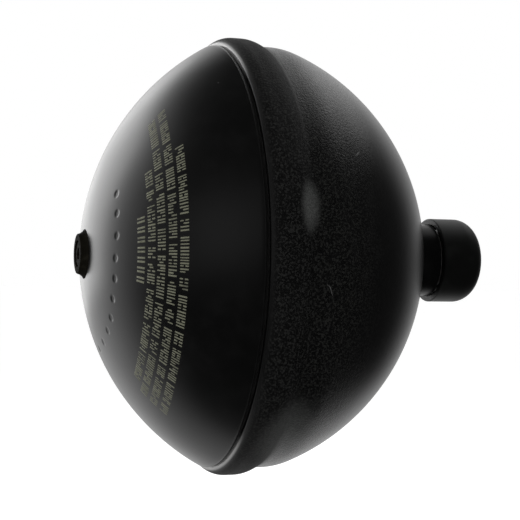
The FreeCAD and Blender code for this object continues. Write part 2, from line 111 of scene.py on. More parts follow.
def straight(start: Sequence[float], end: Sequence[float], step: float) -> np.ndarray:
    """Even points on a straight line.

    Args:
        start: First point.
        end: Last point.
        step: Largest distance between neighbours.

    Returns:
        Points start + t (end - start), for even t from 0 to 1.
    """
    count = max(1, math.ceil(math.dist(start, end) / step))
    t = np.linspace(0.0, 1.0, count + 1)[:, None]
    return np.array(start) + t * (np.array(end) - np.array(start))


def bent(corners: Sequence[Sequence[float]], steps: Sequence[float]) -> list[np.ndarray]:
    """Straight lines from corner to corner, each with its own largest step."""
    return [straight(start, end, step) for start, end, step in zip(corners, corners[1:], steps, strict=False)]


def arc(centre: Pair, radius: float, first: float, last: float, step: float) -> np.ndarray:
    """Even points on an arc.

    Args:
        centre: The arc's centre.
        radius: Its radius.
        first: Angle of the first point, from the radial way towards +X, in radians.
        last: Angle of the last point.
        step: Largest distance between neighbours.

    Returns:
        Points centre + radius (sin a, cos a), for even a from first to last.
    """
    count = max(2, math.ceil(abs(last - first) * radius / step))
    a = np.linspace(first, last, count + 1)
    return np.column_stack([centre[0] + radius * np.sin(a), centre[1] + radius * np.cos(a)])


def sagged(start: np.ndarray, end: np.ndarray, sag: float, count: int) -> np.ndarray:
    """A line that sags to the right of its way.

    Args:
        start: First point.
        end: Last point.
        sag: Depth in its middle.
        count: Number of points.

    Returns:
        Points start + t (end - start) + 4 sag t (1 - t) side, where side is the unit way to the right.
    """
    t = np.linspace(0.0, 1.0, count)[:, None]
    chord = end - start
    side = np.array([chord[1], -chord[0]]) / np.linalg.norm(chord)
    return start + t * chord + 4 * sag * t * (1 - t) * side


def trimmed(run: np.ndarray, start_cut: float, end_cut: float) -> np.ndarray:
    """A line shortened at both ends, with a support point beside each cut.

    Args:
        run: Points of the line.
        start_cut: Length taken off its start.
        end_cut: Length taken off its end.

    Returns:
        Points at the kept lengths along the line, found by interpolation.
    """
    length = np.concatenate([[0.0], np.cumsum(np.linalg.norm(np.diff(run, axis=0), axis=1))])
    first, last = start_cut, length[-1] - end_cut
    supports = [2.0 * start_cut] if start_cut else []
    supports += [length[-1] - 2.0 * end_cut] if end_cut else []
    stops = np.concatenate([length, supports])
    gap = 0.2 * min([cut for cut in (start_cut, end_cut) if cut] or [0.01])
    stops = np.unique(np.round(stops[(stops > first + gap) & (stops < last - gap)], 6))
    stops = np.concatenate([[first], stops, [last]])
    return np.column_stack([np.interp(stops, length, run[:, 0]), np.interp(stops, length, run[:, 1])])


def outline(runs: Sequence[np.ndarray], rounds: Sequence[float], closed: bool) -> np.ndarray:
    """One line from smooth runs that meet at rounded corners.

    Args:
        runs: Lines, each starting where the last one ends.
        rounds: Length cut at each corner, 0 where two runs are tangent. A closed line has one for each run.
        closed: Whether the last run ends where the first starts.

    Returns:
        The points. A corner is a curve (1 - t)^2 a + 2 t (1 - t) corner + t^2 b between its two cuts.
    """
    cuts = [*rounds[: len(runs) - 1], rounds[-1] if closed else 0.0]
    kept = [trimmed(run, cut, end) for run, cut, end in zip(runs, [cuts[-1], *cuts[:-1]], cuts)]
    t = np.linspace(0.0, 1.0, 6)[1:-1, None]
    parts = []
    for number, (run, cut) in enumerate(zip(kept, cuts)):
        parts.append(run if cut or (number == len(kept) - 1 and not closed) else run[:-1])
        if cut:
            corner, follower = runs[number][-1], kept[(number + 1) % len(kept)][0]
            parts.append((1 - t) ** 2 * run[-1] + 2 * t * (1 - t) * corner + t**2 * follower)
    return np.concatenate(parts)


def normals_of(line: np.ndarray, closed: bool) -> np.ndarray:
    """Unit normals of a line, to the left of its way.

    Args:
        line: Points.
        closed: Whether the last point is joined to the first.

    Returns:
        For each point, the way between its neighbours turned by a right angle.
    """
    way = np.roll(line, -1, axis=0) - np.roll(line, 1, axis=0) if closed else np.gradient(line, axis=0)
    normal = np.column_stack([-way[:, 1], way[:, 0]])
    return normal / np.linalg.norm(normal, axis=1)[:, None]


def even_angles(count: int) -> np.ndarray:
    """Angles of a full turn, evenly spaced, without the last."""
    return np.linspace(0.0, 2.0 * np.pi, count, endpoint=False)


def dense_angles(low: float, high: float, fine: float, coarse: float) -> np.ndarray:
    """Angles of a full turn that stand closer in one sector.

    Args:
        low: Sector's start, in degrees.
        high: Sector's end.
        fine: Step in the sector.
        coarse: Step in the rest.

    Returns:
        Angles in radians from low round to low again, without the last.
    """
    inside = np.linspace(low, high, math.ceil((high - low) / fine), endpoint=False)
    outside = np.linspace(high, low + 360.0, math.ceil((low + 360.0 - high) / coarse), endpoint=False)
    return np.radians(np.concatenate([inside, outside]))


# Meshes


def mesh_object(name: str, points: np.ndarray, faces: list[list[int]]) -> Piece:
    """A smooth mesh object at the origin.

    Args:
        name: Its name.
        points: Corners in millimetres.
        faces: Corner numbers of each face, which turn left seen from outside.

    Returns:
        The object, linked to the scene.
    """
    mesh = bpy.data.meshes.new(name)
    mesh.from_pydata((points * MM).tolist(), [], faces)
    mesh.shade_smooth()
    mesh.update()
    made = bpy.data.objects.new(name, mesh)
    bpy.context.scene.collection.objects.link(made)
    LOG.info("%s: %d faces", name, len(faces))
    return made


def turned(
    name: str, line: np.ndarray, angles: np.ndarray, closed: bool, lift: np.ndarray | None = None
) -> Piece:
    """A surface turned about the axis.

    Args:
        name: The object's name.
        line: Points (x, radius) of the outline.
        angles: Angles from the -Y side towards +Z, in radians.
        closed: Whether the outline is a closed loop. An open one ends on the axis.
        lift: Height of each point along the outline's outward normal, rows by angles.

    Returns:
        The object. A point is (x, -r cos a, r sin a), with x and r moved by the lift.
    """
    area = np.sum(line[:, 0] * np.roll(line[:, 1], -1) - np.roll(line[:, 0], -1) * line[:, 1])
    if area < 0:
        line = line[::-1]
        lift = None if lift is None else lift[::-1]
    x, r = (np.repeat(column, len(angles), axis=1) for column in (line[:, :1], line[:, 1:]))
    if lift is not None:
        out = -normals_of(line, closed)
        x, r = x + lift * out[:, :1], r + lift * out[:, 1:]
    points = np.stack([x, -r * np.cos(angles), r * np.sin(angles)], axis=2).reshape(-1, 3)
    number = np.arange(x.size).reshape(x.shape)
    top = len(number) if closed else len(number) - 1
    a, b = number[:top], np.roll(number, -1, axis=0)[:top]
    quads = np.stack([a, np.roll(a, -1, axis=1), np.roll(b, -1, axis=1), b], axis=2).reshape(-1, 4)
    if closed:
        return mesh_object(name, points, quads.tolist())
    return mesh_object(name, *_closed_at_axis(points, quads, len(angles)))


def _closed_at_axis(
    points: np.ndarray, quads: np.ndarray, columns: int
) -> tuple[np.ndarray, list[list[int]]]:
    """Ends of an open turned grid, drawn together in one point each.

    Args:
        points: Corners of the grid, whose first and last rows lie on the axis.
        quads: The grid's faces.
        columns: Number of angles.

    Returns:
        New corners and faces, where each end row is one corner and its quads are triangles.
    """
    inner = points[columns:-columns]
    ends = [np.full(columns, len(inner)), np.full(columns, len(inner) + 1)]
    mapped = np.concatenate([ends[0], np.arange(len(inner)), ends[1]])[quads]
    fans = np.concatenate([mapped[:columns, [0, 2, 3]], mapped[-columns:, [0, 1, 2]]])
    return np.concatenate([inner, points[:1], points[-1:]]), mapped[columns:-columns].tolist() + fans.tolist()


def smooth_copy(name: str, node: str, crease: float = 28.0) -> Piece:
    """A CAD node's solid with its corners merged, and shaded smooth up to a crease.

    Args:
        name: The new piece's name.
        node: The CAD node.
        crease: Angle above which an edge stays sharp, in degrees.

    Returns:
        The piece, which stands for the node.
    """
    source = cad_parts[node].data
    points = np.zeros(len(source.vertices) * 3)
    source.vertices.foreach_get("co", points)
    corners = np.zeros(len(source.loops), dtype=np.int64)
    source.loops.foreach_get("vertex_index", corners)
    unique, back = np.unique(np.round(points.reshape(-1, 3) / MM, 4), axis=0, return_inverse=True)
    faces = back.reshape(-1)[corners].reshape(-1, 3)
    whole = (faces != np.roll(faces, -1, axis=1)).all(axis=1)
    piece = mesh_object(name, unique, faces[whole].tolist())
    piece.data.set_sharp_from_angle(angle=math.radians(crease))
    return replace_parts(piece, node)


def joined_blocks(name: str, corners: np.ndarray, template: np.ndarray) -> Piece:
    """Many equal small blocks as one mesh.

    Args:
        name: The object's name.
        corners: Corners in millimetres, blocks by corners by 3.
        template: Faces of one block.

    Returns:
        The object, with the template's faces repeated for each block.
    """
    shift = np.arange(len(corners))[:, None, None] * corners.shape[1]
    faces = (template[None] + shift).reshape(-1, template.shape[1])
    return mesh_object(name, corners.reshape(-1, 3), faces.tolist())


def cells(number: np.ndarray) -> np.ndarray:
    """Quads between neighbours in a grid of corner numbers."""
    corners = [number[:-1, :-1], number[1:, :-1], number[1:, 1:], number[:-1, 1:]]
    return np.stack(corners, axis=2).reshape(-1, 4)


def block_template(across: int, along: int) -> tuple[np.ndarray, np.ndarray]:
    """A closed slab with its top and bottom divided into a grid.

    Args:
        across: Cells one way.
        along: Cells the other way.

    Returns:
        Corners (u, v, w) from 0 to 1, and the faces, which point outwards for a right-handed u, v, w.
    """
    u, v = np.meshgrid(np.linspace(0, 1, across + 1), np.linspace(0, 1, along + 1), indexing="ij")
    low, high = (np.column_stack([u.ravel(), v.ravel(), np.full(u.size, float(w))]) for w in (0, 1))
    n = np.arange(u.size).reshape(u.shape)
    rim = np.concatenate([n[:-1, 0], n[-1, :-1], n[:0:-1, -1], n[0, :0:-1]])
    after = np.roll(rim, -1)
    sides = np.column_stack([rim, after, after + u.size, rim + u.size])
    return np.concatenate([low, high]), np.concatenate([cells(n)[:, ::-1], cells(n) + u.size, sides])


# Finishes


class Kind(Enum):
    """Socket types of the shared groups."""

    VECTOR = "NodeSocketVector"
    COLOUR = "NodeSocketColor"
    NUMBER = "NodeSocketFloat"


class Wiring:
    """Adds nodes to one tree and joins them."""

    def __init__(self, tree: Tree) -> None:
        """Keeps the tree."""
        self.tree = tree

    @property
    def shader(self) -> Node:
        """The material's own shader."""
        return self.tree.nodes["Principled BSDF"]

    @property
    def place(self) -> Socket:
        """Object coordinates."""
        return self.found("ShaderNodeTexCoord").outputs["Object"]

    def found(self, kind: str) -> Node:
        """The tree's first node of a kind, made where there is none."""
        nodes = self.tree.nodes
        return next((node for node in nodes if node.bl_idname == kind), None) or nodes.new(kind)

    def feed(self, node: Node, given: dict[str | int, object]) -> Node:
        """Gives inputs to a node.

        Args:
            node: The node.
            given: Socket or value for each input, by name or place.

        Returns:
            The node.
        """
        for name, value in given.items():
            if isinstance(value, Socket):
                self.tree.links.new(value, node.inputs[name])
            else:
                node.inputs[name].default_value = value
        return node

    def _sum(self, kind: str, operation: str, a: object, b: object) -> Node:
        """A node that works out one sum.

        Args:
            kind: The node's kind.
            operation: Its operation.
            a: First socket or value.
            b: Second socket or value.

        Returns:
            The node.
        """
        node = self.tree.nodes.new(kind)
        node.operation = operation
        return self.feed(node, {0: a, 1: b})

    def math(self, operation: str, a: Socket | float, b: Socket | float = 0.0) -> Socket:
        """The result of a Math node."""
        return self._sum("ShaderNodeMath", operation, a, b).outputs[0]

    def times(self, *factors: Socket | float) -> Socket:
        """The product of two or more values."""
        return reduce(partial(self.math, "MULTIPLY"), factors)

    def vector(self, operation: str, a: Socket, b: Socket | Sequence[float] = (0.0, 0.0, 0.0)) -> Node:
        """A Vector Math node."""
        return self._sum("ShaderNodeVectorMath", operation, a, b)

    def split(self, vector: Socket) -> Sequence[Socket]:
        """The three parts of a vector."""
        return self.feed(self.tree.nodes.new("ShaderNodeSeparateXYZ"), {0: vector}).outputs

    def noise(self, place: Socket, scale: Socket | float, detail: float, roughness: float = 0.5) -> Socket:
        """Noise in space, with its scale in features a metre."""
        given = {"Vector": place, "Scale": scale, "Detail": detail, "Roughness": roughness}
        return self.feed(self.tree.nodes.new("ShaderNodeTexNoise"), given).outputs["Fac"]

    def ramp(self, value: Socket, edge: Pair, low: float = 0.0) -> Socket:
        """A smooth step.

        Args:
            value: What it goes by.
            edge: Values where it starts and ends.
            low: What it gives at the edge's start.

        Returns:
            The step, from low at the start to 1 at the end.
        """
        node = self.tree.nodes.new("ShaderNodeMapRange")
        node.interpolation_type = "SMOOTHSTEP"
        given = {"Value": value, "From Min": edge[0], "From Max": edge[1], "To Min": low}
        return self.feed(node, given).outputs["Result"]

    def mix(self, share: Socket, under: Socket, over: Socket | Sequence[float], kind: str = "RGBA") -> Socket:
        """A colour or number mixed with another.

        Args:
            share: Share of the other, from 0 to 1.
            under: What the share hides.
            over: The other.
            kind: RGBA for colours and FLOAT for numbers.

        Returns:
            The mix.
        """
        node = self.tree.nodes.new("ShaderNodeMix")
        node.data_type = kind
        return self.feed(node, {"Factor": share, "A": under, "B": over}).outputs["Result"]

    def group(self, group: Tree, given: dict[str | int, object]) -> Node:
        """A shared group, placed in the tree.

        Args:
            group: The group.
            given: Socket or value for each of its inputs.

        Returns:
            The group's node.
        """
        node = self.tree.nodes.new("ShaderNodeGroup")
        node.node_tree = group
        return self.feed(node, given)


class SharedGroup:
    """A node group that is built once and placed where it is needed."""

    def __init__(self, name: str, inputs: dict[str, Kind], outputs: dict[str, Kind]) -> None:
        """Makes the group with its sockets.

        Args:
            name: Its name.
            inputs: Kind of each input.
            outputs: Kind of each output.
        """
        self.tree = bpy.data.node_groups.new(name, "ShaderNodeTree")
        for side, sockets in (("INPUT", inputs), ("OUTPUT", outputs)):
            for label, kind in sockets.items():
                self.tree.interface.new_socket(name=label, in_out=side, socket_type=kind.value)
        self.wiring = Wiring(self.tree)
        self.given = self.tree.nodes.new("NodeGroupInput").outputs
        self.result = self.tree.nodes.new("NodeGroupOutput")


class SurfaceGroup(SharedGroup):
    """Shared effect: worn blotches broken by streaks, uneven roughness and fine grain."""

    blotch_edge: Pair = (0.42, 0.68)
    blotch_detail: float = 4.0
    grain_detail: float = 3.0
    streak_edge: Pair = (0.35, 0.75)
    streak_scale: float = 240.0
    streak_detail: Pair = (5.0, 0.65)

    def __init__(self) -> None:
        """Joins the noises to the outputs."""
        inputs = {"Vector": Kind.VECTOR, "Clean": Kind.COLOUR, "Worn": Kind.COLOUR}
        numbers = ("Blotch Scale", "Grain Scale", "Wear", "Rough Low", "Rough High")
        inputs |= dict.fromkeys(numbers, Kind.NUMBER)
        outputs = {"Color": Kind.COLOUR, "Roughness": Kind.NUMBER, "Height": Kind.NUMBER}
        super().__init__("surface_grain", inputs, outputs)
        given, wiring = self.given, self.wiring
        blotch = wiring.noise(given["Vector"], given["Blotch Scale"], self.blotch_detail)
        grain = wiring.noise(given["Vector"], given["Grain Scale"], self.grain_detail)
        streak = wiring.noise(given["Vector"], self.streak_scale, *self.streak_detail)
        spots, breaks = wiring.ramp(blotch, self.blotch_edge), wiring.ramp(streak, self.streak_edge)
        colour = wiring.mix(wiring.times(spots, breaks, given["Wear"]), given["Clean"], given["Worn"])
        span = wiring.math("SUBTRACT", given["Rough High"], given["Rough Low"])
        rough = wiring.math("ADD", wiring.times(span, blotch), given["Rough Low"])
        wiring.feed(self.result, {"Color": colour, "Roughness": rough, "Height": grain})


@dataclass(frozen=True)
class Spot:
    """One painted highlight, painted sheen or scratch on the paint: its place, its way and its reach along
    and across, in mm.
    """

    place: Triple
    way: Triple
    along: float
    across: float
    tone: Tone
    share: float


class SpotGroup(SharedGroup):
    """Shared effect: a soft oval spot on a surface, broken up by a fine noise."""

    softness: float = 1.7
    grain_scale: float = 2000.0
    grain_detail: Pair = (3.0, 0.6)
    grain_edge: Pair = (0.4, 0.62)
    grain_low: float = 0.65

    def __init__(self) -> None:
        """Builds the group, whose mask falls softly from 1 to 0 with (t / along)^2 + (d / across)^2.

        Here t is the distance from the spot's place along its way, and d the distance from that line.
        """
        inputs = dict.fromkeys(("Vector", "Place", "Way"), Kind.VECTOR)
        inputs |= dict.fromkeys(("Along", "Across", "Share"), Kind.NUMBER)
        super().__init__("surface_spot", inputs, {"Mask": Kind.NUMBER})
        given, wiring = self.given, self.wiring
        offset = wiring.vector("SUBTRACT", given["Vector"], given["Place"]).outputs[0]
        run = wiring.vector("DOT_PRODUCT", offset, given["Way"]).outputs["Value"]
        whole = wiring.vector("DOT_PRODUCT", offset, offset).outputs["Value"]
        aside = wiring.math("SUBTRACT", whole, wiring.times(run, run))
        long = wiring.math("POWER", wiring.math("DIVIDE", run, given["Along"]), 2.0)
        wide = wiring.times(given["Across"], given["Across"])
        spread = wiring.math("ADD", long, wiring.math("DIVIDE", aside, wide))
        soft = wiring.math("POWER", wiring.ramp(spread, (1.0, 0.0)), self.softness)
        grain = wiring.noise(given["Vector"], self.grain_scale, *self.grain_detail)
        mask = wiring.times(soft, wiring.ramp(grain, self.grain_edge, self.grain_low), given["Share"])
        wiring.feed(self.result, {"Mask": mask})

    def put(self, material: Material, spots: Sequence[Spot]) -> Material:
        """Lays spots over a material's colour.

        Args:
            material: A material whose Base Color is linked.
            spots: The spots.

        Returns:
            The material.
        """
        wiring = Wiring(material.node_tree)
        for spot in spots:
            given = {
                "Vector": wiring.place,
                "Place": Vector(spot.place) * MM,
                "Way": Vector(spot.way).normalized(),
                "Along": spot.along * MM,
                "Across": spot.across * MM,
                "Share": spot.share,
            }
            mask = wiring.group(self.tree, given).outputs["Mask"]
            under = wiring.shader.inputs["Base Color"].links[0].from_socket
            wiring.feed(wiring.shader, {"Base Color": wiring.mix(mask, under, spot.tone.rgba)})
        return material


@dataclass(frozen=True)
class Finish:
    """A procedural finish on Object coordinates, from the shared grain group."""

    name: str
    clean: Tone
    worn_and_highlight: Tone
    rough: Pair
    metallic: float = 0.0
    wear: float = 0.5
    blotch: float = 60.0
    grain: float = 900.0
    bump: float = 0.06
    bump_depth: float = 0.00002
    specular: float = 0.5

    def effect(self, wiring: Wiring, shared: SurfaceGroup) -> Node:
        """The shared group, placed with this finish's values.

        Args:
            wiring: Where it is placed.
            shared: The group.

        Returns:
            The group's node.
        """
        given = {
            "Vector": wiring.place,
            "Clean": self.clean.rgba,
            "Worn": self.worn_and_highlight.rgba,
            "Blotch Scale": self.blotch,
            "Grain Scale": self.grain,
            "Wear": self.wear,
            "Rough Low": self.rough[0],
            "Rough High": self.rough[1],
        }
        return wiring.group(shared.tree, given)

    def build(self, shared: SurfaceGroup) -> Material:
        """The material.

        Args:
            shared: The group that gives its colour, roughness and bump.

        Returns:
            A Principled material.
        """
        material = bpy.data.materials.new(self.name)
        material.use_nodes = True
        wiring = Wiring(material.node_tree)
        effect = self.effect(wiring, shared).outputs
        relief = {"Strength": self.bump, "Distance": self.bump_depth, "Height": effect["Height"]}
        given = {
            "Metallic": self.metallic,
            "Specular IOR Level": self.specular,
            "Base Color": effect["Color"],
            "Roughness": effect["Roughness"],
            "Normal": wiring.feed(wiring.found("ShaderNodeBump"), relief).outputs["Normal"],
        }
        wiring.feed(wiring.shader, given)
        return material


PAINT = Finish("satin_black_paint", Tone.PAINT, Tone.PAINT_WORN, (0.27, 0.36), grain=1400.0, bump=0.25)
OXIDE = Finish(
    "dull_boss_paint", Tone.OXIDE, Tone.OXIDE_WORN, (0.6, 0.78),
    wear=0.8, blotch=500.0, bump=0.3, specular=0.01,
)
BLACKENED = Finish(
    "blackened_screw", Tone.OXIDE, Tone.OXIDE_WORN, (0.55, 0.7),
    wear=0.6, blotch=700.0, grain=3000.0, specular=0.01,
)
# Weld paint with a lightened tone: painted fill light against the shade in the rim's groove.
WELD_PAINTED_FILL = Finish(
    "weld_paint_painted_fill", Tone.WELD_PAINTED_FILL, Tone.WELD_WORN_PAINTED_FILL, (0.4, 0.6),
    wear=0.7, blotch=400.0, grain=2400.0, bump=0.2, specular=0.4,
)
PLASTIC = Finish(
    "moulded_black_plastic", Tone.PLASTIC, Tone.PLASTIC_SCUFF, (0.42, 0.55),
    wear=0.4, blotch=160.0, grain=2600.0, specular=0.3,
)
RUBBER = Finish("black_rubber", Tone.RUBBER, Tone.RUBBER_BLOOM, (0.55, 0.75), wear=0.6, specular=0.35)
STEEL = Finish(
    "turned_steel", Tone.STEEL, Tone.STEEL_DARK, (0.24, 0.4),
    metallic=1.0, wear=0.6, blotch=240.0, grain=3200.0,
)
THREAD_STEEL = Finish("bare_thread", Tone.STEEL, Tone.STEEL_DARK, (0.25, 0.45), wear=0.8, blotch=260.0)
BRASS = Finish(
    "turned_brass", Tone.BRASS, Tone.BRASS_DARK, (0.22, 0.38), metallic=1.0, wear=0.7, blotch=300.0
)
INK = Finish(
    "printed_ink", Tone.INK, Tone.INK_WORN, (0.5, 0.7), wear=0.9, blotch=420.0, grain=3000.0, bump=0.1
)


def metres(edge: Pair) -> Pair:
    """Two lengths in millimetres, as metres."""
    return edge[0] * MM, edge[1] * MM


@dataclass(frozen=True)
class NeckFinish:
    """Black paint on the neck, and bare steel from the shoulder on, where the cap covered the thread."""

    name: str = "neck_paint_and_bare_thread"
    edge: Pair = (-0.13, 0.02)
    ragged_scale: float = 500.0
    ragged_detail: float = 2.0
    ragged_reach: float = 0.3
    specular: float = 0.14

    def build(self, shared: SurfaceGroup) -> Material:
        """The material.

        Args:
            shared: The shared grain group.

        Returns:
            The paint, mixed to steel by the Object X coordinate, with a rough edge between them.
        """
        material = replace(PAINT, name=self.name, specular=self.specular).build(shared)
        wiring = Wiring(material.node_tree)
        paint = wiring.found("ShaderNodeGroup").outputs
        steel = THREAD_STEEL.effect(wiring, shared).outputs
        ragged = wiring.noise(wiring.place, self.ragged_scale, self.ragged_detail)
        offset = wiring.times(ragged, self.ragged_reach * MM)
        along = wiring.math("ADD", wiring.split(wiring.place)["X"], offset)
        bare = wiring.ramp(along, metres(self.edge))
        given = {
            "Base Color": wiring.mix(bare, paint["Color"], steel["Color"]),
            "Roughness": wiring.mix(bare, paint["Roughness"], steel["Roughness"], "FLOAT"),
            "Metallic": bare,
        }
        wiring.feed(wiring.shader, given)
        return material


@dataclass(frozen=True)
class BeltPaint:
    """Black paint that lies coarse and mottled on the belt at the rim, and even further off.

    Each mask over Object X rises between the first two of its stations and falls between the last two. The
    lip carries a painted highlight, a light metal-like tone, only where it is far above or below the axis.
    """

    name: str = "belt_paint"
    belt: tuple[float, ...] = (-66.0, -64.0, -50.0, -30.0)
    ridge: tuple[float, ...] = (-66.0, -64.5, -56.5, -53.8)
    lip: tuple[float, ...] = (-66.2, -65.95, -65.75, -65.3)
    # Height band and metallic share of the lip's painted highlight.
    lip_highlight_height: Pair = (43.0, 51.0)
    lip_highlight_metallic: float = 0.1
    speck_scale: float = 1900.0
    speck_detail: Pair = (3.0, 0.6)
    speck_edge: Pair = (0.47, 0.62)
    extra_height: float = 40.0
    extra_rough: float = 0.42

    def build(self, shared: SurfaceGroup) -> Material:
        """The material.

        Args:
            shared: The shared grain group.

        Returns:
            The paint, with specks that are lighter and higher on the belt, duller on the ridge, and a painted
            highlight in a light metal-like tone at the top and the bottom of the lip.
        """
        material = replace(PAINT, name=self.name).build(shared)
        wiring = Wiring(material.node_tree)
        paint, axes = wiring.found("ShaderNodeGroup").outputs, wiring.split(wiring.place)
        belt, ridge, lip = (self._mask(wiring, axes["X"], row) for row in (self.belt, self.ridge, self.lip))
        speck = wiring.noise(wiring.place, self.speck_scale, *self.speck_detail)
        height = wiring.math("ADD", paint["Height"], wiring.times(belt, speck, self.extra_height))
        wiring.feed(wiring.found("ShaderNodeBump"), {"Height": height})
        light = wiring.times(belt, wiring.ramp(speck, self.speck_edge))
        colour = wiring.mix(light, paint["Color"], Tone.BELT_SPECK.rgba)
        # Painted highlight: a light metal-like tone on the lip, laid only far above and below the axis, where
        # grazing light falls.
        far = wiring.ramp(wiring.math("ABSOLUTE", axes["Z"]), metres(self.lip_highlight_height))
        worn_and_highlight = wiring.times(lip, far)
        given = {
            "Base Color": wiring.mix(worn_and_highlight, colour, Tone.LIP_PAINTED_HIGHLIGHT.rgba),
            "Roughness": wiring.math("ADD", paint["Roughness"], wiring.times(ridge, self.extra_rough)),
            "Metallic": wiring.times(worn_and_highlight, self.lip_highlight_metallic),
        }
        wiring.feed(wiring.shader, given)
        return material

    def _mask(self, wiring: Wiring, along: Socket, stations: tuple[float, ...]) -> Socket:
        """A mask that rises between the first two stations and falls between the last two."""
        rise, fall = (wiring.ramp(along, metres(edge)) for edge in (stations[:2], stations[2:]))
        return wiring.times(rise, wiring.math("SUBTRACT", 1.0, fall))


GAS_SPOTS = (Spot((-72.12, -31.9, 42.8), (0.2, 0.6, 0.75), 0.35, 0.2, Tone.SCRATCH, 0.9),)
FLUID_SPOTS = (
    # Painted highlight: a soft light patch on the ridge's right flank.
    Spot((-56.1, -56.7, 11.7), (0.04, 0.2, 0.98), 8.6, 3.6, Tone.PAINTED_SHEEN, 0.85),
    # Painted sheen: a wide soft light patch below the rim's foot.
    Spot((-55.0, -37.0, -44.5), (0.0, 0.75, -0.66), 17.0, 10.0, Tone.PAINTED_SHEEN, 0.55),
    Spot((-50.7, -56.5, -8.2), (0.37, 0.15, -0.91), 2.1, 0.16, Tone.SCRATCH, 0.5),
    Spot((-51.3, -56.7, -7.2), (0.75, 0.1, -0.65), 1.2, 0.14, Tone.SCRATCH, 0.4),
    Spot((-40.9, -47.6, 25.2), (0.64, 0.62, 0.45), 1.9, 0.22, Tone.SCRATCH, 0.6),
)


class Finishes:
    """Every material of the object, built once."""

    def __init__(self) -> None:
        """Builds the shared groups and the materials."""
        shared, spots = SurfaceGroup(), SpotGroup()
        self.paint = spots.put(PAINT.build(shared), GAS_SPOTS)
        self.belt = spots.put(BeltPaint().build(shared), FLUID_SPOTS)
        self.neck = NeckFinish().build(shared)
        self.weld, self.oxide, self.blackened = (finish.build(shared) for finish in (WELD_PAINTED_FILL, OXIDE, BLACKENED))
        self.plastic, self.rubber, self.ink = (finish.build(shared) for finish in (PLASTIC, RUBBER, INK))
        self.steel, self.brass = (finish.build(shared) for finish in (STEEL, BRASS))


def dress(piece: Piece, material: Material, body: str) -> Piece:
    """Gives a piece its material and body.

    Args:
        piece: The object.
        material: Its material.
        body: CAD body that it rides on.

    Returns:
        The piece.
    """
    piece.data.materials.clear()
    piece.data.materials.append(material)
    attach(piece, body)
    return piece


# The vessel


@dataclass
class Dome:
    """Outer form of a half shell: a skirt, a knuckle and a spherical crown, in millimetres."""

    side: int
    skirt: float
    knuckle: float
    dish: float
    radius: float = 57.2
    knuckle_x: float = field(init=False)
    knuckle_r: float = field(init=False)
    crown: float = field(init=False)
    crown_x: float = field(init=False)
    joint: float = field(init=False)

    def __post_init__(self) -> None:
        """Works out the crown that is tangent to the knuckle and as deep as the dish."""
        self.knuckle_x = RIM_X + self.side * self.skirt
        self.knuckle_r = self.radius - self.knuckle
        self.crown = (self.dish**2 + self.knuckle_r**2 - self.knuckle**2) / (2 * (self.dish - self.knuckle))
        run = self.crown - self.dish
        self.crown_x = self.knuckle_x - self.side * run
        self.joint = math.atan2(run, self.knuckle_r)

    def knuckle_arc(self, first: float, last: float, inset: float, step: float) -> np.ndarray:
        """Points on the knuckle between two angles from the skirt's end."""
        centre = (self.knuckle_x, self.knuckle_r)
        return arc(centre, self.knuckle - inset, self.side * first, self.side * last, step)

    def crown_arc(self, first: float, last: float, inset: float, step: float) -> np.ndarray:
        """Points on the crown.

        Args:
            first: Distance of the first point from the axis.
            last: Distance of the last point.
            inset: How far inside the outer form the points lie.
            step: Largest distance between neighbours.

        Returns:
            The arc's points.
        """
        reach = self.crown - inset
        start, end = (self.side * math.acos(radius / reach) for radius in (first, last))
        return arc((self.crown_x, 0.0), reach, start, end, step)

    def crown_rim(self, inset: float) -> float:
        """Distance from the axis where the crown meets the knuckle."""
        return self.knuckle_r + (self.knuckle - inset) * math.cos(self.joint)

    def on_crown(self, radius: np.ndarray, lift: np.ndarray, angle: np.ndarray) -> np.ndarray:
        """Points over the crown.

        Args:
            radius: Distance from the axis of each foot on the crown.
            lift: Height over the crown.
            angle: Angle from the -Y side towards +Z, in radians.

        Returns:
            Points: the foot moved along the crown's radius by the lift, and turned about the axis.
        """
        share = (self.crown + lift) / self.crown
        x = self.crown_x + self.side * np.sqrt(self.crown**2 - radius**2) * share
        r = radius * share
        return np.stack([x, -r * np.cos(angle), r * np.sin(angle)], axis=-1)


GAS_DOME = Dome(side=-1, skirt=3.4, knuckle=7.8, dish=35.4)
FLUID_DOME = Dome(side=1, skirt=8.6, knuckle=16.5, dish=45.1)


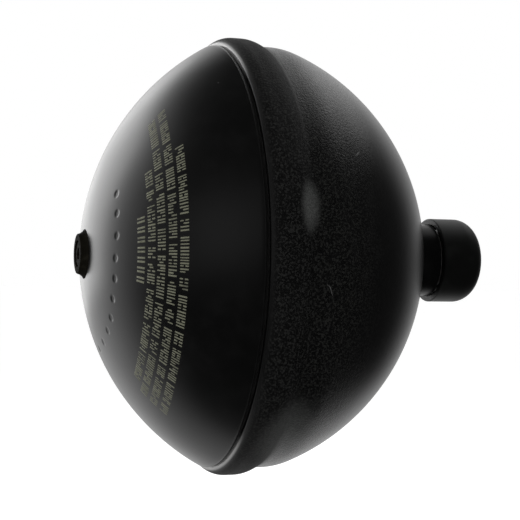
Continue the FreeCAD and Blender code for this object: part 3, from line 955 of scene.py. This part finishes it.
@dataclass
class GasShell:
    """Left half shell, with plain round punch marks on a circle round its pole.

    In this and the other turned pieces, rounds holds the length cut at each corner of the section.
    """

    edge_round: float = 0.4
    groove_rise: float = 0.15
    spigot_end_x: float = RIM_X + 0.5
    hole: float = 4.65
    rounds: tuple[float, ...] = (0, 0, 0, 0.18, 0.12, 0.1, 0.3, 0.3, 0, 0, 0.3, 0.2)
    marked_band: Pair = (19.5, 27.0)
    marked_sector: Pair = (-98.0, 44.0)
    angle_steps: Pair = (0.52, 1.5)
    mark_radius: float = 0.95
    mark_depth: float = 0.16
    mark_steepness: int = 6
    marks: tuple[Pair, ...] = (
        (24.5, 38.0), (23.8, 25.0), (23.2, 11.0), (22.6, -3.0), (22.8, -16.0),
        (22.8, -30.0), (23.4, -44.0), (23.5, -57.0), (23.9, -74.0), (25.2, -92.0),
    )

    def build(self) -> Piece:
        """Turns the shell from its section.

        Returns:
            The piece, with the marks pressed in.
        """
        dome = GAS_DOME
        end = math.asin((dome.knuckle_x - GROOVE_X - self.edge_round) / dome.knuckle)
        shoulder = dome.knuckle_arc(dome.joint, end, 0.0, 0.45)
        low = shoulder[-1, 1] - self.edge_round / 2 + self.groove_rise
        rim = [
            shoulder[-1],
            (GROOVE_X, low),
            (GROOVE_X, SPIGOT_R),
            (self.spigot_end_x, SPIGOT_R),
            (self.spigot_end_x, INNER_R),
            (dome.knuckle_x, INNER_R),
        ]
        runs = [
            dome.crown_arc(self.hole, self.marked_band[0], 0.0, 0.8),
            dome.crown_arc(*self.marked_band, 0.0, 0.24),
            dome.crown_arc(self.marked_band[1], dome.crown_rim(0.0), 0.0, 0.8),
            shoulder,
            *bent(rim, (0.3, 0.3, 1.5, 0.8, 1.0)),
            dome.knuckle_arc(0.0, dome.joint, WALL, 1.2),
            dome.crown_arc(dome.crown_rim(WALL), self.hole, WALL, 1.6),
        ]
        runs.append(straight(runs[-1][-1], runs[0][0], 1.0))
        line = outline(runs, self.rounds, True)
        angles = dense_angles(*self.marked_sector, *self.angle_steps)
        return turned("gas_shell_body", line, angles, True, self._pressed(line, angles))

    def _pressed(self, line: np.ndarray, angles: np.ndarray) -> np.ndarray:
        """Depth of the marks.

        Args:
            line: The section.
            angles: Angles of the turn.

        Returns:
            For each point of the outside, the sum over the marks of -depth exp(-(d / radius)^6), where d is
            the distance on the surface from the mark's middle.
        """
        foot = line[:, 1][:, None]
        outside = (np.hypot(line[:, 0] - GAS_DOME.crown_x, line[:, 1]) > GAS_DOME.crown - 1.0)[:, None]
        lift = np.zeros((len(line), len(angles)))
        for radius, degrees in self.marks:
            across = (angles - math.radians(degrees) + np.pi) % (2 * np.pi) - np.pi
            slope = np.sqrt(1.0 - (radius / GAS_DOME.crown) ** 2)
            distance = np.hypot((foot - radius) / slope, foot * across[None, :])
            fall = np.exp(-((distance / self.mark_radius) ** self.mark_steepness))
            lift -= self.mark_depth * fall * outside
        return lift


@dataclass
class FluidShell:
    """Right half shell, with its rim belled out over the spigot."""

    lip_run: float = 3.6
    lip_drop: float = 1.9
    rise: float = 1.8
    foot_x: float = RIM_X + 6.1
    crest_round: float = 7.5
    foot_round: float = 2.0
    socket: float = 54.8
    floor_x: float = RIM_X + 2.5
    hole: float = 10.25
    rounds: tuple[float, ...] = (0.2, 0, 0, 0, 0, 0, 0, 0.2, 0.2, 0, 0, 0.3, 0.2, 0.15)
    turns: int = 360

    def build(self) -> Piece:
        """Turns the shell from its section.

        Returns:
            The piece, with its lip, its belled rim and the step that holds the spigot.
        """
        dome = FLUID_DOME
        top = dome.radius + self.rise
        flank = math.acos(1 - self.rise / (self.crest_round + self.foot_round))
        crest_end = self.foot_x - (self.crest_round + self.foot_round) * math.sin(flank)
        crest_start = LIP_X + self.lip_run
        lip_round = (self.lip_run**2 + self.lip_drop**2) / (2 * self.lip_drop)
        lip_angle = -math.asin(self.lip_run / lip_round)
        foot = (self.foot_x, dome.radius + self.foot_round)
        outside = [
            straight((LIP_X, self.socket), (LIP_X, top - self.lip_drop), 0.4),
            arc((crest_start, top - lip_round), lip_round, lip_angle, 0.0, 0.2),
            straight((crest_start, top), (crest_end, top), 0.5),
            arc((crest_end, top - self.crest_round), self.crest_round, 0.0, flank, 0.25),
            arc(foot, self.foot_round, math.pi + flank, math.pi, 0.12),
            straight((self.foot_x, dome.radius), (dome.knuckle_x, dome.radius), 0.3),
            dome.knuckle_arc(0.0, dome.joint, 0.0, 0.7),
            dome.crown_arc(dome.crown_rim(0.0), self.hole, 0.0, 0.7),
        ]
        inside = dome.crown_arc(self.hole, dome.crown_rim(WALL), WALL, 1.6)
        floor = [(self.floor_x, INNER_R), (self.floor_x, self.socket)]
        step = [(dome.knuckle_x, INNER_R), *floor, (LIP_X, self.socket)]
        runs = [
            *outside,
            straight(outside[-1][-1], inside[0], 1.0),
            inside,
            dome.knuckle_arc(dome.joint, 0.0, WALL, 1.4),
            *bent(step, (1.0, 0.8, 1.5)),
        ]
        return turned("fluid_shell_body", outline(runs, self.rounds, True), even_angles(self.turns), True)


@dataclass
class RimWeld:
    """Weld in the groove at the belled lip, with fine ripples along it."""

    left_toe: float = 0.4
    right_toe: float = 1.3
    sag: float = 0.25
    lag: float = 3.2
    points: int = 13
    ripples: int = 300
    angles_a_ripple: int = 5
    ripple_height: float = 0.035

    def build(self) -> Piece:
        """Turns the bead from its section.

        Returns:
            The piece: a sagging top between its toes, lifted by sin(ripples times angle).
        """
        t = np.linspace(0.0, 1.0, self.points)
        x = GROOVE_X + t * (LIP_X - GROOVE_X)
        r = SPIGOT_R + self.left_toe + t * (self.right_toe - self.left_toe) - 4 * self.sag * t * (1 - t)
        base = straight((LIP_X, SPIGOT_R), (GROOVE_X, SPIGOT_R), 0.5)
        line = np.concatenate([np.column_stack([x, r]), base])
        angles = even_angles(self.angles_a_ripple * self.ripples)
        swell = np.concatenate([np.sin(np.pi * t), np.zeros(len(base))])[:, None]
        lag = np.concatenate([self.lag * (2 * t - 1) ** 2, np.zeros(len(base))])[:, None]
        wave = np.sin(self.ripples * angles[None, :] + lag)
        return turned("rim_weld", line, angles, True, self.ripple_height * swell * wave)


@dataclass
class FillBoss:
    """Flared boss at the gas shell's pole, bored for the fill screw."""

    face_r: float = 5.3
    foot_r: float = 6.6
    flare_sag: float = 0.3
    flare_points: int = 9
    stem_r: float = 4.6
    stem_end: float = 1.5
    thread_room: float = 2.05
    head_room: float = 3.55
    head_sunk: float = 0.3
    head_height: float = 2.2
    seal_height: float = 1.0
    rounds: tuple[float, ...] = (0.3, 0.08, 0, 0.2, 0.1, 0.1, 0.1, 0.15)
    turns: int = 160

    def build(self) -> Piece:
        """Turns the boss from its section.

        Returns:
            The piece, with the bore and the seat of the fill screw.
        """
        dome = GAS_DOME
        foot = (dome.crown_x - math.sqrt(dome.crown**2 - self.foot_r**2), self.foot_r)
        face = (BOSS_FACE_X, self.face_r)
        stem = dome.crown_arc(self.foot_r, self.stem_r, 0.0, 0.6)
        end_x = POLE_X + WALL + self.stem_end
        seat_x = BOSS_FACE_X + self.head_sunk + self.head_height + self.seal_height
        bore = [
            stem[-1],
            (end_x, self.stem_r),
            (end_x, self.thread_room),
            (seat_x, self.thread_room),
            (seat_x, self.head_room),
            (BOSS_FACE_X, self.head_room),
        ]
        runs = [
            straight(bore[-1], face, 0.4),
            sagged(np.array(face), np.array(foot), self.flare_sag, self.flare_points),
            stem,
            *bent(bore, (1.0, 0.6, 1.0, 0.5, 0.5)),
        ]
        return turned("fill_boss_body", outline(runs, self.rounds, True), even_angles(self.turns), True)


@dataclass
class PortNeck:
    """Turned neck with an inner flange, the outside thread cut as a helix, and a grooved nose."""

    flange_r: float = 13.5
    flange_edge: float = 1.6
    thread: float = 9.0
    pitch: float = 1.5
    thread_depth: float = 0.92
    thread_end: float = 6.6
    thread_step: float = 0.09
    crest_share: float = 1.25
    flank_slope: float = 1.6
    fade_run: float = 0.9
    fade_lag: float = 0.35
    clear_x: float = 0.05
    clear_r: float = 0.3
    chamfer: float = 0.8
    nose: float = 7.4
    nose_end: float = 9.5
    nose_edge: float = 0.4
    groove_start: float = 7.15
    groove_end: float = 8.95
    groove_floor: float = 6.15
    bore: float = 3.0
    pocket: float = 4.5
    pocket_x: float = 4.0
    ring_x: float = 8.0
    ring_end: float = 8.7
    ring_r: float = 4.9
    rounds: tuple[float, ...] = (0.1, 0.3, 0.1, 0, 0.1, *[0.08] * 14, 0.1, 0.25, 0.1)
    turns: int = 280

    def build(self) -> Piece:
        """Turns the neck from its section.

        Returns:
            The piece, with the thread's depth taken off its rows.
        """
        dome = FLUID_DOME
        flange_x = dome.crown_x + math.sqrt((dome.crown - WALL) ** 2 - self.flange_r**2)
        face_x = flange_x - self.flange_edge
        seat = dome.crown_arc(self.flange_r, NECK_R, WALL, 0.8)
        corners = [
            seat[-1],
            (0.0, NECK_R),
            (0.0, self.thread),
            (self.thread_end - self.chamfer, self.thread),
            (self.thread_end, self.thread - self.chamfer),
            (self.thread_end, self.nose),
            (self.groove_start, self.nose),
            (self.groove_start, self.groove_floor),
            (self.groove_end, self.groove_floor),
            (self.groove_end, self.nose),
            (self.nose_end - self.nose_edge, self.nose),
            (self.nose_end, self.nose - self.nose_edge),
            (self.nose_end, self.pocket),
            (self.ring_end, self.pocket),
            (self.ring_end, self.ring_r),
            (self.ring_x, self.ring_r),
            (self.ring_x, self.pocket),
            (self.pocket_x, self.pocket),
            (self.pocket_x, self.bore),
            (face_x, self.bore),
            (face_x, self.flange_r),
            (flange_x, self.flange_r),
        ]
        runs = [seat, *bent(corners, [0.6, 0.5, self.thread_step] + [0.5] * len(corners))]
        line, angles = outline(runs, self.rounds, True), even_angles(self.turns)
        return turned("port_neck_threaded", line, angles, True, self._thread_cut(line, angles))

    def _thread_cut(self, line: np.ndarray, angles: np.ndarray) -> np.ndarray:
        """Depth of the helical thread.

        Args:
            line: The section.
            angles: Angles of the turn.

        Returns:
            Minus the depth times a truncated triangle wave of (x - pitch turn) / pitch on the thread's rows,
            fading in at the shoulder and no deeper than the root on the chamfer.
        """
        x, r = line[:, :1], line[:, 1:]
        turn = (np.pi - angles)[None, :] / (2 * np.pi)
        phase = np.mod(x / self.pitch - turn, 1.0)
        wave = np.clip(self.crest_share - np.abs(2 * phase - 1) * self.flank_slope, 0.0, 1.0)
        fade = np.clip(x / self.fade_run - self.fade_lag, 0.0, 1.0)
        root = self.thread - self.thread_depth
        rows = (r > self.nose + self.clear_r) & (x > self.clear_x) & (x <= self.thread_end)
        return -np.where(rows, np.minimum(self.thread_depth * wave * fade, np.maximum(r - root, 0.0)), 0.0)


@dataclass
class PortWeld:
    """Fillet weld round the foot of the neck, with fine ripples."""

    leg: float = 1.4
    sag: float = 0.15
    lag: float = 2.0
    points: int = 15
    ripples: int = 64
    angles_a_ripple: int = 6
    ripple_height: float = 0.04

    def build(self) -> Piece:
        """Turns the bead from its section.

        Returns:
            The piece: a sagging face between its two feet, lifted by sin(ripples times angle).
        """
        base = FLUID_DOME.crown_arc(NECK_R, NECK_R + self.leg, 0.0, 0.25)
        end = np.array([base[0, 0] + self.leg, NECK_R])
        face = sagged(base[-1], end, self.sag, self.points)
        foot = straight(end, base[0], 0.4)
        line = np.concatenate([base[:-1], face, foot[1:-1]])
        angles = even_angles(self.angles_a_ripple * self.ripples)
        rise = np.sin(np.pi * np.linspace(0.0, 1.0, self.points))
        swell = np.concatenate([np.zeros(len(base) - 1), rise, np.zeros(len(foot) - 2)])[:, None]
        wave = np.sin(self.ripples * angles[None, :] + self.lag * swell)
        return turned("port_weld", line, angles, True, self.ripple_height * swell * wave)


@dataclass
class PrintedStrokes:
    """Rows of plain upright ink strokes, grouped as words are, on bowed circles of the gas shell's crown.

    A row is (radius, upper end, lower end), the ends in degrees from the -Y side towards +Z. A span is the
    share of the height where a kind of stroke starts and ends, and how often that kind comes.
    """

    height: float = 2.5
    film: float = 0.02
    sink: float = 0.04
    stroke: float = 0.36
    pitch: float = 0.76
    stroke_spread: Pair = (0.8, 1.25)
    pitch_spread: Pair = (0.85, 1.15)
    word_gap: float = 1.0
    word_length: tuple[int, int] = (4, 16)
    spans: tuple[Triple, ...] = (
        (0.0, 1.0, 0.6), (0.0, 0.62, 0.08), (0.38, 1.0, 0.08), (0.25, 0.75, 0.04), (0.0, 0.4, 0.2)
    )
    broken_top: Pair = (0.6, 1.0)
    bow: float = 1.2
    bow_middle: float = -3.0
    bow_reach: float = 60.0
    rows: tuple[Triple, ...] = (
        (35.35, 34.5, -61.5), (38.05, 58.0, -65.5), (40.85, 58.5, -64.5), (43.5, 36.8, -64.5)
    )
    heading: Triple = (32.2, 16.0, -14.5)
    heading_groups: int = 7
    heading_lead: float = 0.95
    heading_stroke: float = 0.5
    heading_span: Pair = (-0.05, 1.05)

    def build(self) -> Piece:
        """All strokes as one thin film on the shell.

        Returns:
            The piece. A stroke's middle radius is its row's plus bow |(angle - middle) / reach|^3.
        """
        dice = np.random.default_rng(SEED)
        rows = [self._row(dice, *row) for row in self.rows]
        strokes = np.concatenate([*rows, self._heading(*self.heading)])
        unit, faces = block_template(1, 4)
        u, v, w = (unit[None, :, axis] for axis in range(3))
        row, low, high, foot, head = (strokes[:, column : column + 1] for column in range(5))
        bend = np.abs((np.degrees(low + high) / 2 - self.bow_middle) / self.bow_reach) ** 3
        bowed = row + self.bow * bend
        slope = np.sqrt(1.0 - (bowed / GAS_DOME.crown) ** 2)
        radius = bowed + (foot + v * (head - foot) - 0.5) * self.height * slope
        angle = low + u * (high - low)
        corners = GAS_DOME.on_crown(radius, w * (self.film + self.sink) - self.sink, angle)
        return joined_blocks("printed_strokes", corners, faces[:, ::-1])

    def _row(self, dice: np.random.Generator, radius: float, start: float, end: float) -> np.ndarray:
        """Strokes of one row.

        Args:
            dice: Seeded random numbers.
            radius: The row's distance from the axis.
            start: Upper end.
            end: Lower end.

        Returns:
            Rows of (radius, low angle, high angle, foot, head), where foot and head are shares of the height.
            Strokes follow each other at the pitch, with wider gaps as between words. The last kind of stroke
            has a second piece at its top.
        """
        length = math.radians(start - end) * radius
        count = math.ceil(length / self.pitch)
        steps = self.pitch * dice.uniform(*self.pitch_spread, count)
        widths = self.stroke * dice.uniform(*self.stroke_spread, count)
        breaks = np.zeros(count)
        words = np.cumsum(dice.integers(*self.word_length, count))
        breaks[words[words < count]] = self.word_gap
        starts = np.cumsum(np.concatenate([[0.0], steps[:-1]]) + breaks)
        kept = starts + widths < length
        foot, head, share = np.array(self.spans).T
        kind = np.searchsorted(np.cumsum(share), dice.random(count) * share.sum())[kept]
        high = math.radians(start) - starts[kept] / radius
        low = high - widths[kept] / radius
        broken = kind == len(share) - 1
        first = self._pieces(radius, low, high, foot[kind], head[kind])
        second = self._pieces(radius, low[broken], high[broken], *self.broken_top)
        return np.concatenate([first, second])

    def _heading(self, radius: float, start: float, end: float) -> np.ndarray:
        """Even pairs of strokes of the short first row.

        Args:
            radius: The row's distance from the axis.
            start: Upper end.
            end: Lower end.

        Returns:
            Rows like those of _row.
        """
        edges = np.radians(np.linspace(start, end, self.heading_groups + 1))[:-1]
        high = (edges[:, None] - np.array([0.0, self.heading_lead]) / radius).ravel()
        return self._pieces(radius, high - self.heading_stroke / radius, high, *self.heading_span)

    def _pieces(self, *columns: float | np.ndarray) -> np.ndarray:
        """Rows of (radius, low, high, foot, head), one for each angle."""
        return np.column_stack(np.broadcast_arrays(*columns))


@dataclass
class ThreadCap:
    """Push-on plastic cap, with ribs at its floor that grip the nose."""

    rim_x: float = 0.1
    floor_x: float = 11.7
    end_x: float = 13.5
    inside: float = 10.25
    outside: float = 11.85
    end_round: float = 6.0
    floor_round: float = 4.2
    rounds: tuple[float, ...] = (0, 0, 0.12, 0.3, 0, 0)
    turns: int = 256
    rib_count: int = 6
    rib_width: float = 1.2
    rib_x: float = 6.9
    rib_grip: float = 7.75
    rib_root: float = 0.4
    rib_nose: float = 0.3

    def build(self) -> Piece:
        """Turns the cup from its section.

        Returns:
            The piece, closed on the axis at both faces of its floor.
        """
        inner = (self.floor_x - self.floor_round, self.inside - self.floor_round)
        outer = (self.end_x - self.end_round, self.outside - self.end_round)
        wall = [
            (inner[0], self.inside),
            (self.rim_x, self.inside),
            (self.rim_x, self.outside),
            (outer[0], self.outside),
        ]
        runs = [
            straight((self.floor_x, 0.0), (self.floor_x, inner[1]), 0.8),
            arc(inner, self.floor_round, math.pi / 2, 0.0, 0.3),
            *bent(wall, (0.6, 0.5, 0.5)),
            arc(outer, self.end_round, 0.0, math.pi / 2, 0.25),
            straight((self.end_x, outer[1]), (self.end_x, 0.0), 0.8),
        ]
        return turned("thread_cap_cup", outline(runs, self.rounds, False), even_angles(self.turns), False)

    def ribs(self) -> Piece:
        """Builds the ribs as slabs.

        Returns:
            The piece. Each rib stands from the grip to a little way inside the wall, whose round it follows.
        """
        unit, faces = block_template(4, 12)
        lean = even_angles(self.rib_count)[:, None]
        centre_x, centre_r = self.floor_x - self.floor_round, self.inside - self.floor_round
        reach = self.floor_round + self.rib_root
        last_x = centre_x + math.sqrt(reach**2 - (self.rib_grip + self.rib_nose - centre_r) ** 2)
        x = self.rib_x + unit[None, :, 1] * (last_x - self.rib_x)
        root = centre_r + np.sqrt(reach**2 - np.maximum(x - centre_x, 0.0) ** 2)
        r = self.rib_grip + unit[None, :, 2] * (root - self.rib_grip)
        side = (unit[None, :, 0] - 0.5) * self.rib_width
        y = -r * np.cos(lean) - side * np.sin(lean)
        z = r * np.sin(lean) - side * np.cos(lean)
        return joined_blocks("thread_cap_ribs", np.stack([x + 0 * y, y, z], axis=2), faces)


class Accumulator:
    """The whole object: its replaced and dressed pieces, body by body."""

    def __init__(self, finishes: Finishes) -> None:
        """Keeps the finishes for the pieces."""
        self.finishes = finishes

    def vessel(self) -> None:
        """Shells, welds, boss, neck and the printed strokes."""
        paint = self.finishes.paint
        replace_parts(dress(GasShell().build(), paint, VESSEL), "gas_shell")
        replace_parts(dress(FluidShell().build(), self.finishes.belt, VESSEL), "fluid_shell")
        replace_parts(dress(RimWeld().build(), self.finishes.weld, VESSEL), "rim_weld_bead")
        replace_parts(dress(FillBoss().build(), self.finishes.oxide, VESSEL), "fill_boss")
        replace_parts(dress(PortWeld().build(), self.finishes.weld, VESSEL), "port_weld_bead")
        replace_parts(dress(PortNeck().build(), self.finishes.neck, VESSEL), "port_fitting")
        dress(PrintedStrokes().build(), self.finishes.ink, VESSEL)

    def cap(self) -> None:
        """The cap's cup and ribs."""
        cap = ThreadCap()
        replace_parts(dress(cap.build(), self.finishes.plastic, CAP), "thread_cap")
        dress(cap.ribs(), self.finishes.plastic, CAP)

    def inner_pieces(self) -> None:
        """Pieces that keep the CAD form, with merged corners and smooth shading."""
        steel, rubber, brass = self.finishes.steel, self.finishes.rubber, self.finishes.brass
        dress(smooth_copy("diaphragm_rubber", "diaphragm"), rubber, VESSEL)
        dress(smooth_copy("retaining_ring", "diaphragm_retaining_ring"), steel, VESSEL)
        dress(smooth_copy("button_disc", "diaphragm_button"), steel, CENTRE)
        dress(smooth_copy("button_washer", "button_back_washer"), steel, CENTRE)
        dress(smooth_copy("fill_screw_body", "fill_screw"), self.finishes.blackened, VESSEL)
        dress(smooth_copy("fill_screw_ring", "fill_screw_seal"), rubber, VESSEL)
        dress(smooth_copy("nose_ring", "port_seal_ring"), rubber, VESSEL)
        dress(smooth_copy("restrictor_body", "restrictor_insert"), brass, VESSEL)
        dress(smooth_copy("snap_ring", "restrictor_snap_ring"), steel, VESSEL)


# The stage


class RoomGlow(SharedGroup):
    """What gloss sees of the room: a strength for each direction.

    It is 1 at the wall behind the object, falls off sideways with the cosine of the level angle, upwards and
    downwards with the height, and is dim in front. A card low behind the right side glows round its way.
    """

    wall_turn: float = math.radians(5.0)
    wall_edge: Pair = (0.2, 0.9)
    wall_top: Pair = (0.74, 0.5)
    wall_foot: Pair = (-0.85, -0.4)
    foot_glow: float = 0.55
    card_way: Triple = (0.4, 0.68, -0.62)
    card_edge: Pair = (0.82, 0.995)
    front_glow: float = 0.02

    def __init__(self) -> None:
        """Works the strength out of the direction."""
        super().__init__("room_glow", {"Direction": Kind.VECTOR}, {"Strength": Kind.NUMBER})
        wiring = self.wiring
        unit = wiring.vector("NORMALIZE", self.given["Direction"]).outputs[0]
        x, y, z = wiring.split(unit)
        flat = wiring.math("SQRT", wiring.math("SUBTRACT", 1.0, wiring.times(z, z)))
        ahead = wiring.times(y, math.cos(self.wall_turn))
        facing = wiring.math("SUBTRACT", ahead, wiring.times(x, math.sin(self.wall_turn)))
        level = wiring.math("DIVIDE", facing, wiring.math("MAXIMUM", flat, 0.01))
        top, foot = wiring.ramp(z, self.wall_top), wiring.ramp(z, self.wall_foot, self.foot_glow)
        wall = wiring.times(wiring.ramp(level, self.wall_edge), wiring.times(top, foot))
        toward = wiring.vector("DOT_PRODUCT", unit, Vector(self.card_way).normalized()).outputs["Value"]
        lit = wiring.math("MAXIMUM", wall, wiring.ramp(toward, self.card_edge))
        wiring.feed(self.result, {"Strength": wiring.math("MAXIMUM", lit, self.front_glow)})


@dataclass
class Studio:
    """Pale floor, white background, soft lamps and the photograph's camera.

    A lamp is its name, its place in metres from the object's middle, its width and height, and the brightness
    of its face, where 1 looks as bright as the white background.
    """

    floor_z: float = -0.2
    floor_size: float = 30.0
    floor_glow: float = 0.5
    floor_tone: float = 0.75
    floor_rough: float = 0.9
    ambient: float = 0.7
    lamps: tuple[tuple[str, Triple, Pair, float], ...] = (
        ("back_softbox", (-0.55, 1.4, 0.35), (1.2, 1.1), 1.6),
        ("top_softbox", (0.68, 0.42, 1.05), (0.95, 0.95), 0.95),
        ("left_softbox", (-1.25, -0.2, 0.1), (1.5, 0.8), 0.14),
        ("front_softbox", (-1.2, -0.85, 0.4), (1.1, 0.9), 0.15),
    )
    camera_place: Triple = (-105.097 + RIM_X, -360.0, -4.025)
    yaw: float = 0.310447
    pitch: float = 0.00855
    roll: float = 0.014865
    focal_px: float = 1372.307
    image_px: float = 520.0
    sensor: float = 36.0

    def build(self) -> None:
        """Makes the floor, the world, the lamps and the camera."""
        glow = RoomGlow().tree
        self._floor(glow)
        self._world(glow)
        for lamp in self.lamps:
            self._lamp(*lamp)
        self._camera()

    def _floor(self, glow: Tree) -> None:
        """A wide pale floor that keeps the object's shadow and looks white to the camera.

        Args:
            glow: What gloss sees of the room, taken here by the direction from the object's middle.
        """
        t = np.linspace(-self.floor_size / 2, self.floor_size / 2, 3)
        x, y = np.meshgrid(t, t, indexing="ij")
        points = np.column_stack([x.ravel(), y.ravel(), np.full(x.size, self.floor_z)]) / MM
        floor = mesh_object("studio_floor", points, cells(np.arange(x.size).reshape(x.shape)).tolist())
        material = bpy.data.materials.new("pale_floor")
        material.use_nodes = True
        wiring = Wiring(material.node_tree)
        seen, glossy = self._rays(wiring)
        given = {
            "Base Color": (self.floor_tone, self.floor_tone, self.floor_tone, 1.0),
            "Roughness": self.floor_rough,
            "Emission Color": (1.0, 1.0, 1.0, 1.0),
            "Emission Strength": wiring.times(seen, self.floor_glow),
        }
        pale = wiring.feed(wiring.shader, given).outputs[0]
        way = wiring.vector("SUBTRACT", wiring.place, (RIM_X * MM, 0.0, 0.0)).outputs[0]
        strength = wiring.group(glow, {"Direction": way}).outputs["Strength"]
        light = wiring.feed(wiring.found("ShaderNodeEmission"), {"Strength": strength}).outputs[0]
        both = wiring.feed(wiring.found("ShaderNodeMixShader"), {0: glossy, 1: pale, 2: light})
        wiring.feed(wiring.found("ShaderNodeOutputMaterial"), {"Surface": both.outputs[0]})
        floor.data.materials.append(material)

    def _world(self, glow: Tree) -> None:
        """White where the camera looks, the room's glow for gloss, and an even soft light for the rest.

        Args:
            glow: What gloss sees of the room.
        """
        world = bpy.data.worlds.new("studio")
        bpy.context.scene.world = world
        world.use_nodes = True
        wiring = Wiring(world.node_tree)
        seen, glossy = self._rays(wiring)
        way = wiring.found("ShaderNodeTexCoord").outputs["Generated"]
        strength = wiring.group(glow, {"Direction": way}).outputs["Strength"]
        bright = wiring.math("MAXIMUM", seen, wiring.times(glossy, strength))
        others = wiring.math("SUBTRACT", 1.0, wiring.math("MAXIMUM", seen, glossy))
        total = wiring.math("ADD", bright, wiring.times(others, self.ambient))
        wiring.feed(wiring.found("ShaderNodeBackground"), {"Color": (1.0, 1.0, 1.0, 1.0), "Strength": total})

    def _rays(self, wiring: Wiring) -> tuple[Socket, Socket]:
        """What a ray in a shader's tree is.

        Args:
            wiring: The tree.

        Returns:
            Whether it comes straight from the camera, and whether it comes from gloss, as 0 or 1.
        """
        kinds = wiring.found("ShaderNodeLightPath").outputs
        seen = wiring.math("MAXIMUM", kinds["Is Camera Ray"], kinds["Is Transmission Ray"])
        return seen, kinds["Is Glossy Ray"]

    def _lamp(self, name: str, place: Triple, size: Pair, radiance: float) -> None:
        """A soft rectangular lamp that faces the object.

        Args:
            name: Its name.
            place: Where it stands.
            size: Its width and height.
            radiance: Brightness of its face.
        """
        light = bpy.data.lights.new(name, "AREA")
        light.shape = "RECTANGLE"
        light.size, light.size_y = size
        light.energy = radiance * math.pi * size[0] * size[1]
        lamp = bpy.data.objects.new(name, light)
        bpy.context.scene.collection.objects.link(lamp)
        lamp.location = Vector((RIM_X * MM, 0.0, 0.0)) + Vector(place)
        lamp.rotation_euler = (-Vector(place)).to_track_quat("-Z", "Y").to_euler()

    def _camera(self) -> None:
        """The camera, at the place and angle worked out from the photograph's outlines."""
        forth = math.cos(self.pitch)
        ahead = Vector((math.sin(self.yaw) * forth, math.cos(self.yaw) * forth, math.sin(self.pitch)))
        level = Vector((math.cos(self.yaw), -math.sin(self.yaw), 0.0))
        above = level.cross(ahead)
        right = math.cos(self.roll) * level + math.sin(self.roll) * above
        up = math.cos(self.roll) * above - math.sin(self.roll) * level
        data = bpy.data.cameras.new("camera")
        data.sensor_width = self.sensor
        data.lens = self.focal_px / self.image_px * self.sensor
        data.clip_start, data.clip_end = 0.01, 100.0
        camera = bpy.data.objects.new("camera", data)
        bpy.context.scene.collection.objects.link(camera)
        turn = Matrix((right, up, -ahead)).transposed()
        camera.matrix_world = Matrix.Translation(Vector(self.camera_place) * MM) @ turn.to_4x4()
        bpy.context.scene.camera = camera


def main() -> None:
    """Builds the object and the studio, and reports each step."""
    logging.basicConfig(level=logging.INFO, format="%(name)s: %(message)s")
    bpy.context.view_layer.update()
    accumulator = Accumulator(Finishes())
    accumulator.vessel()
    accumulator.cap()
    accumulator.inner_pieces()
    Studio().build()
    bpy.context.scene.view_settings.view_transform = "Standard"
    bpy.context.view_layer.update()
    LOG.info("scene is complete")


if __name__ == "__main__":
    main()
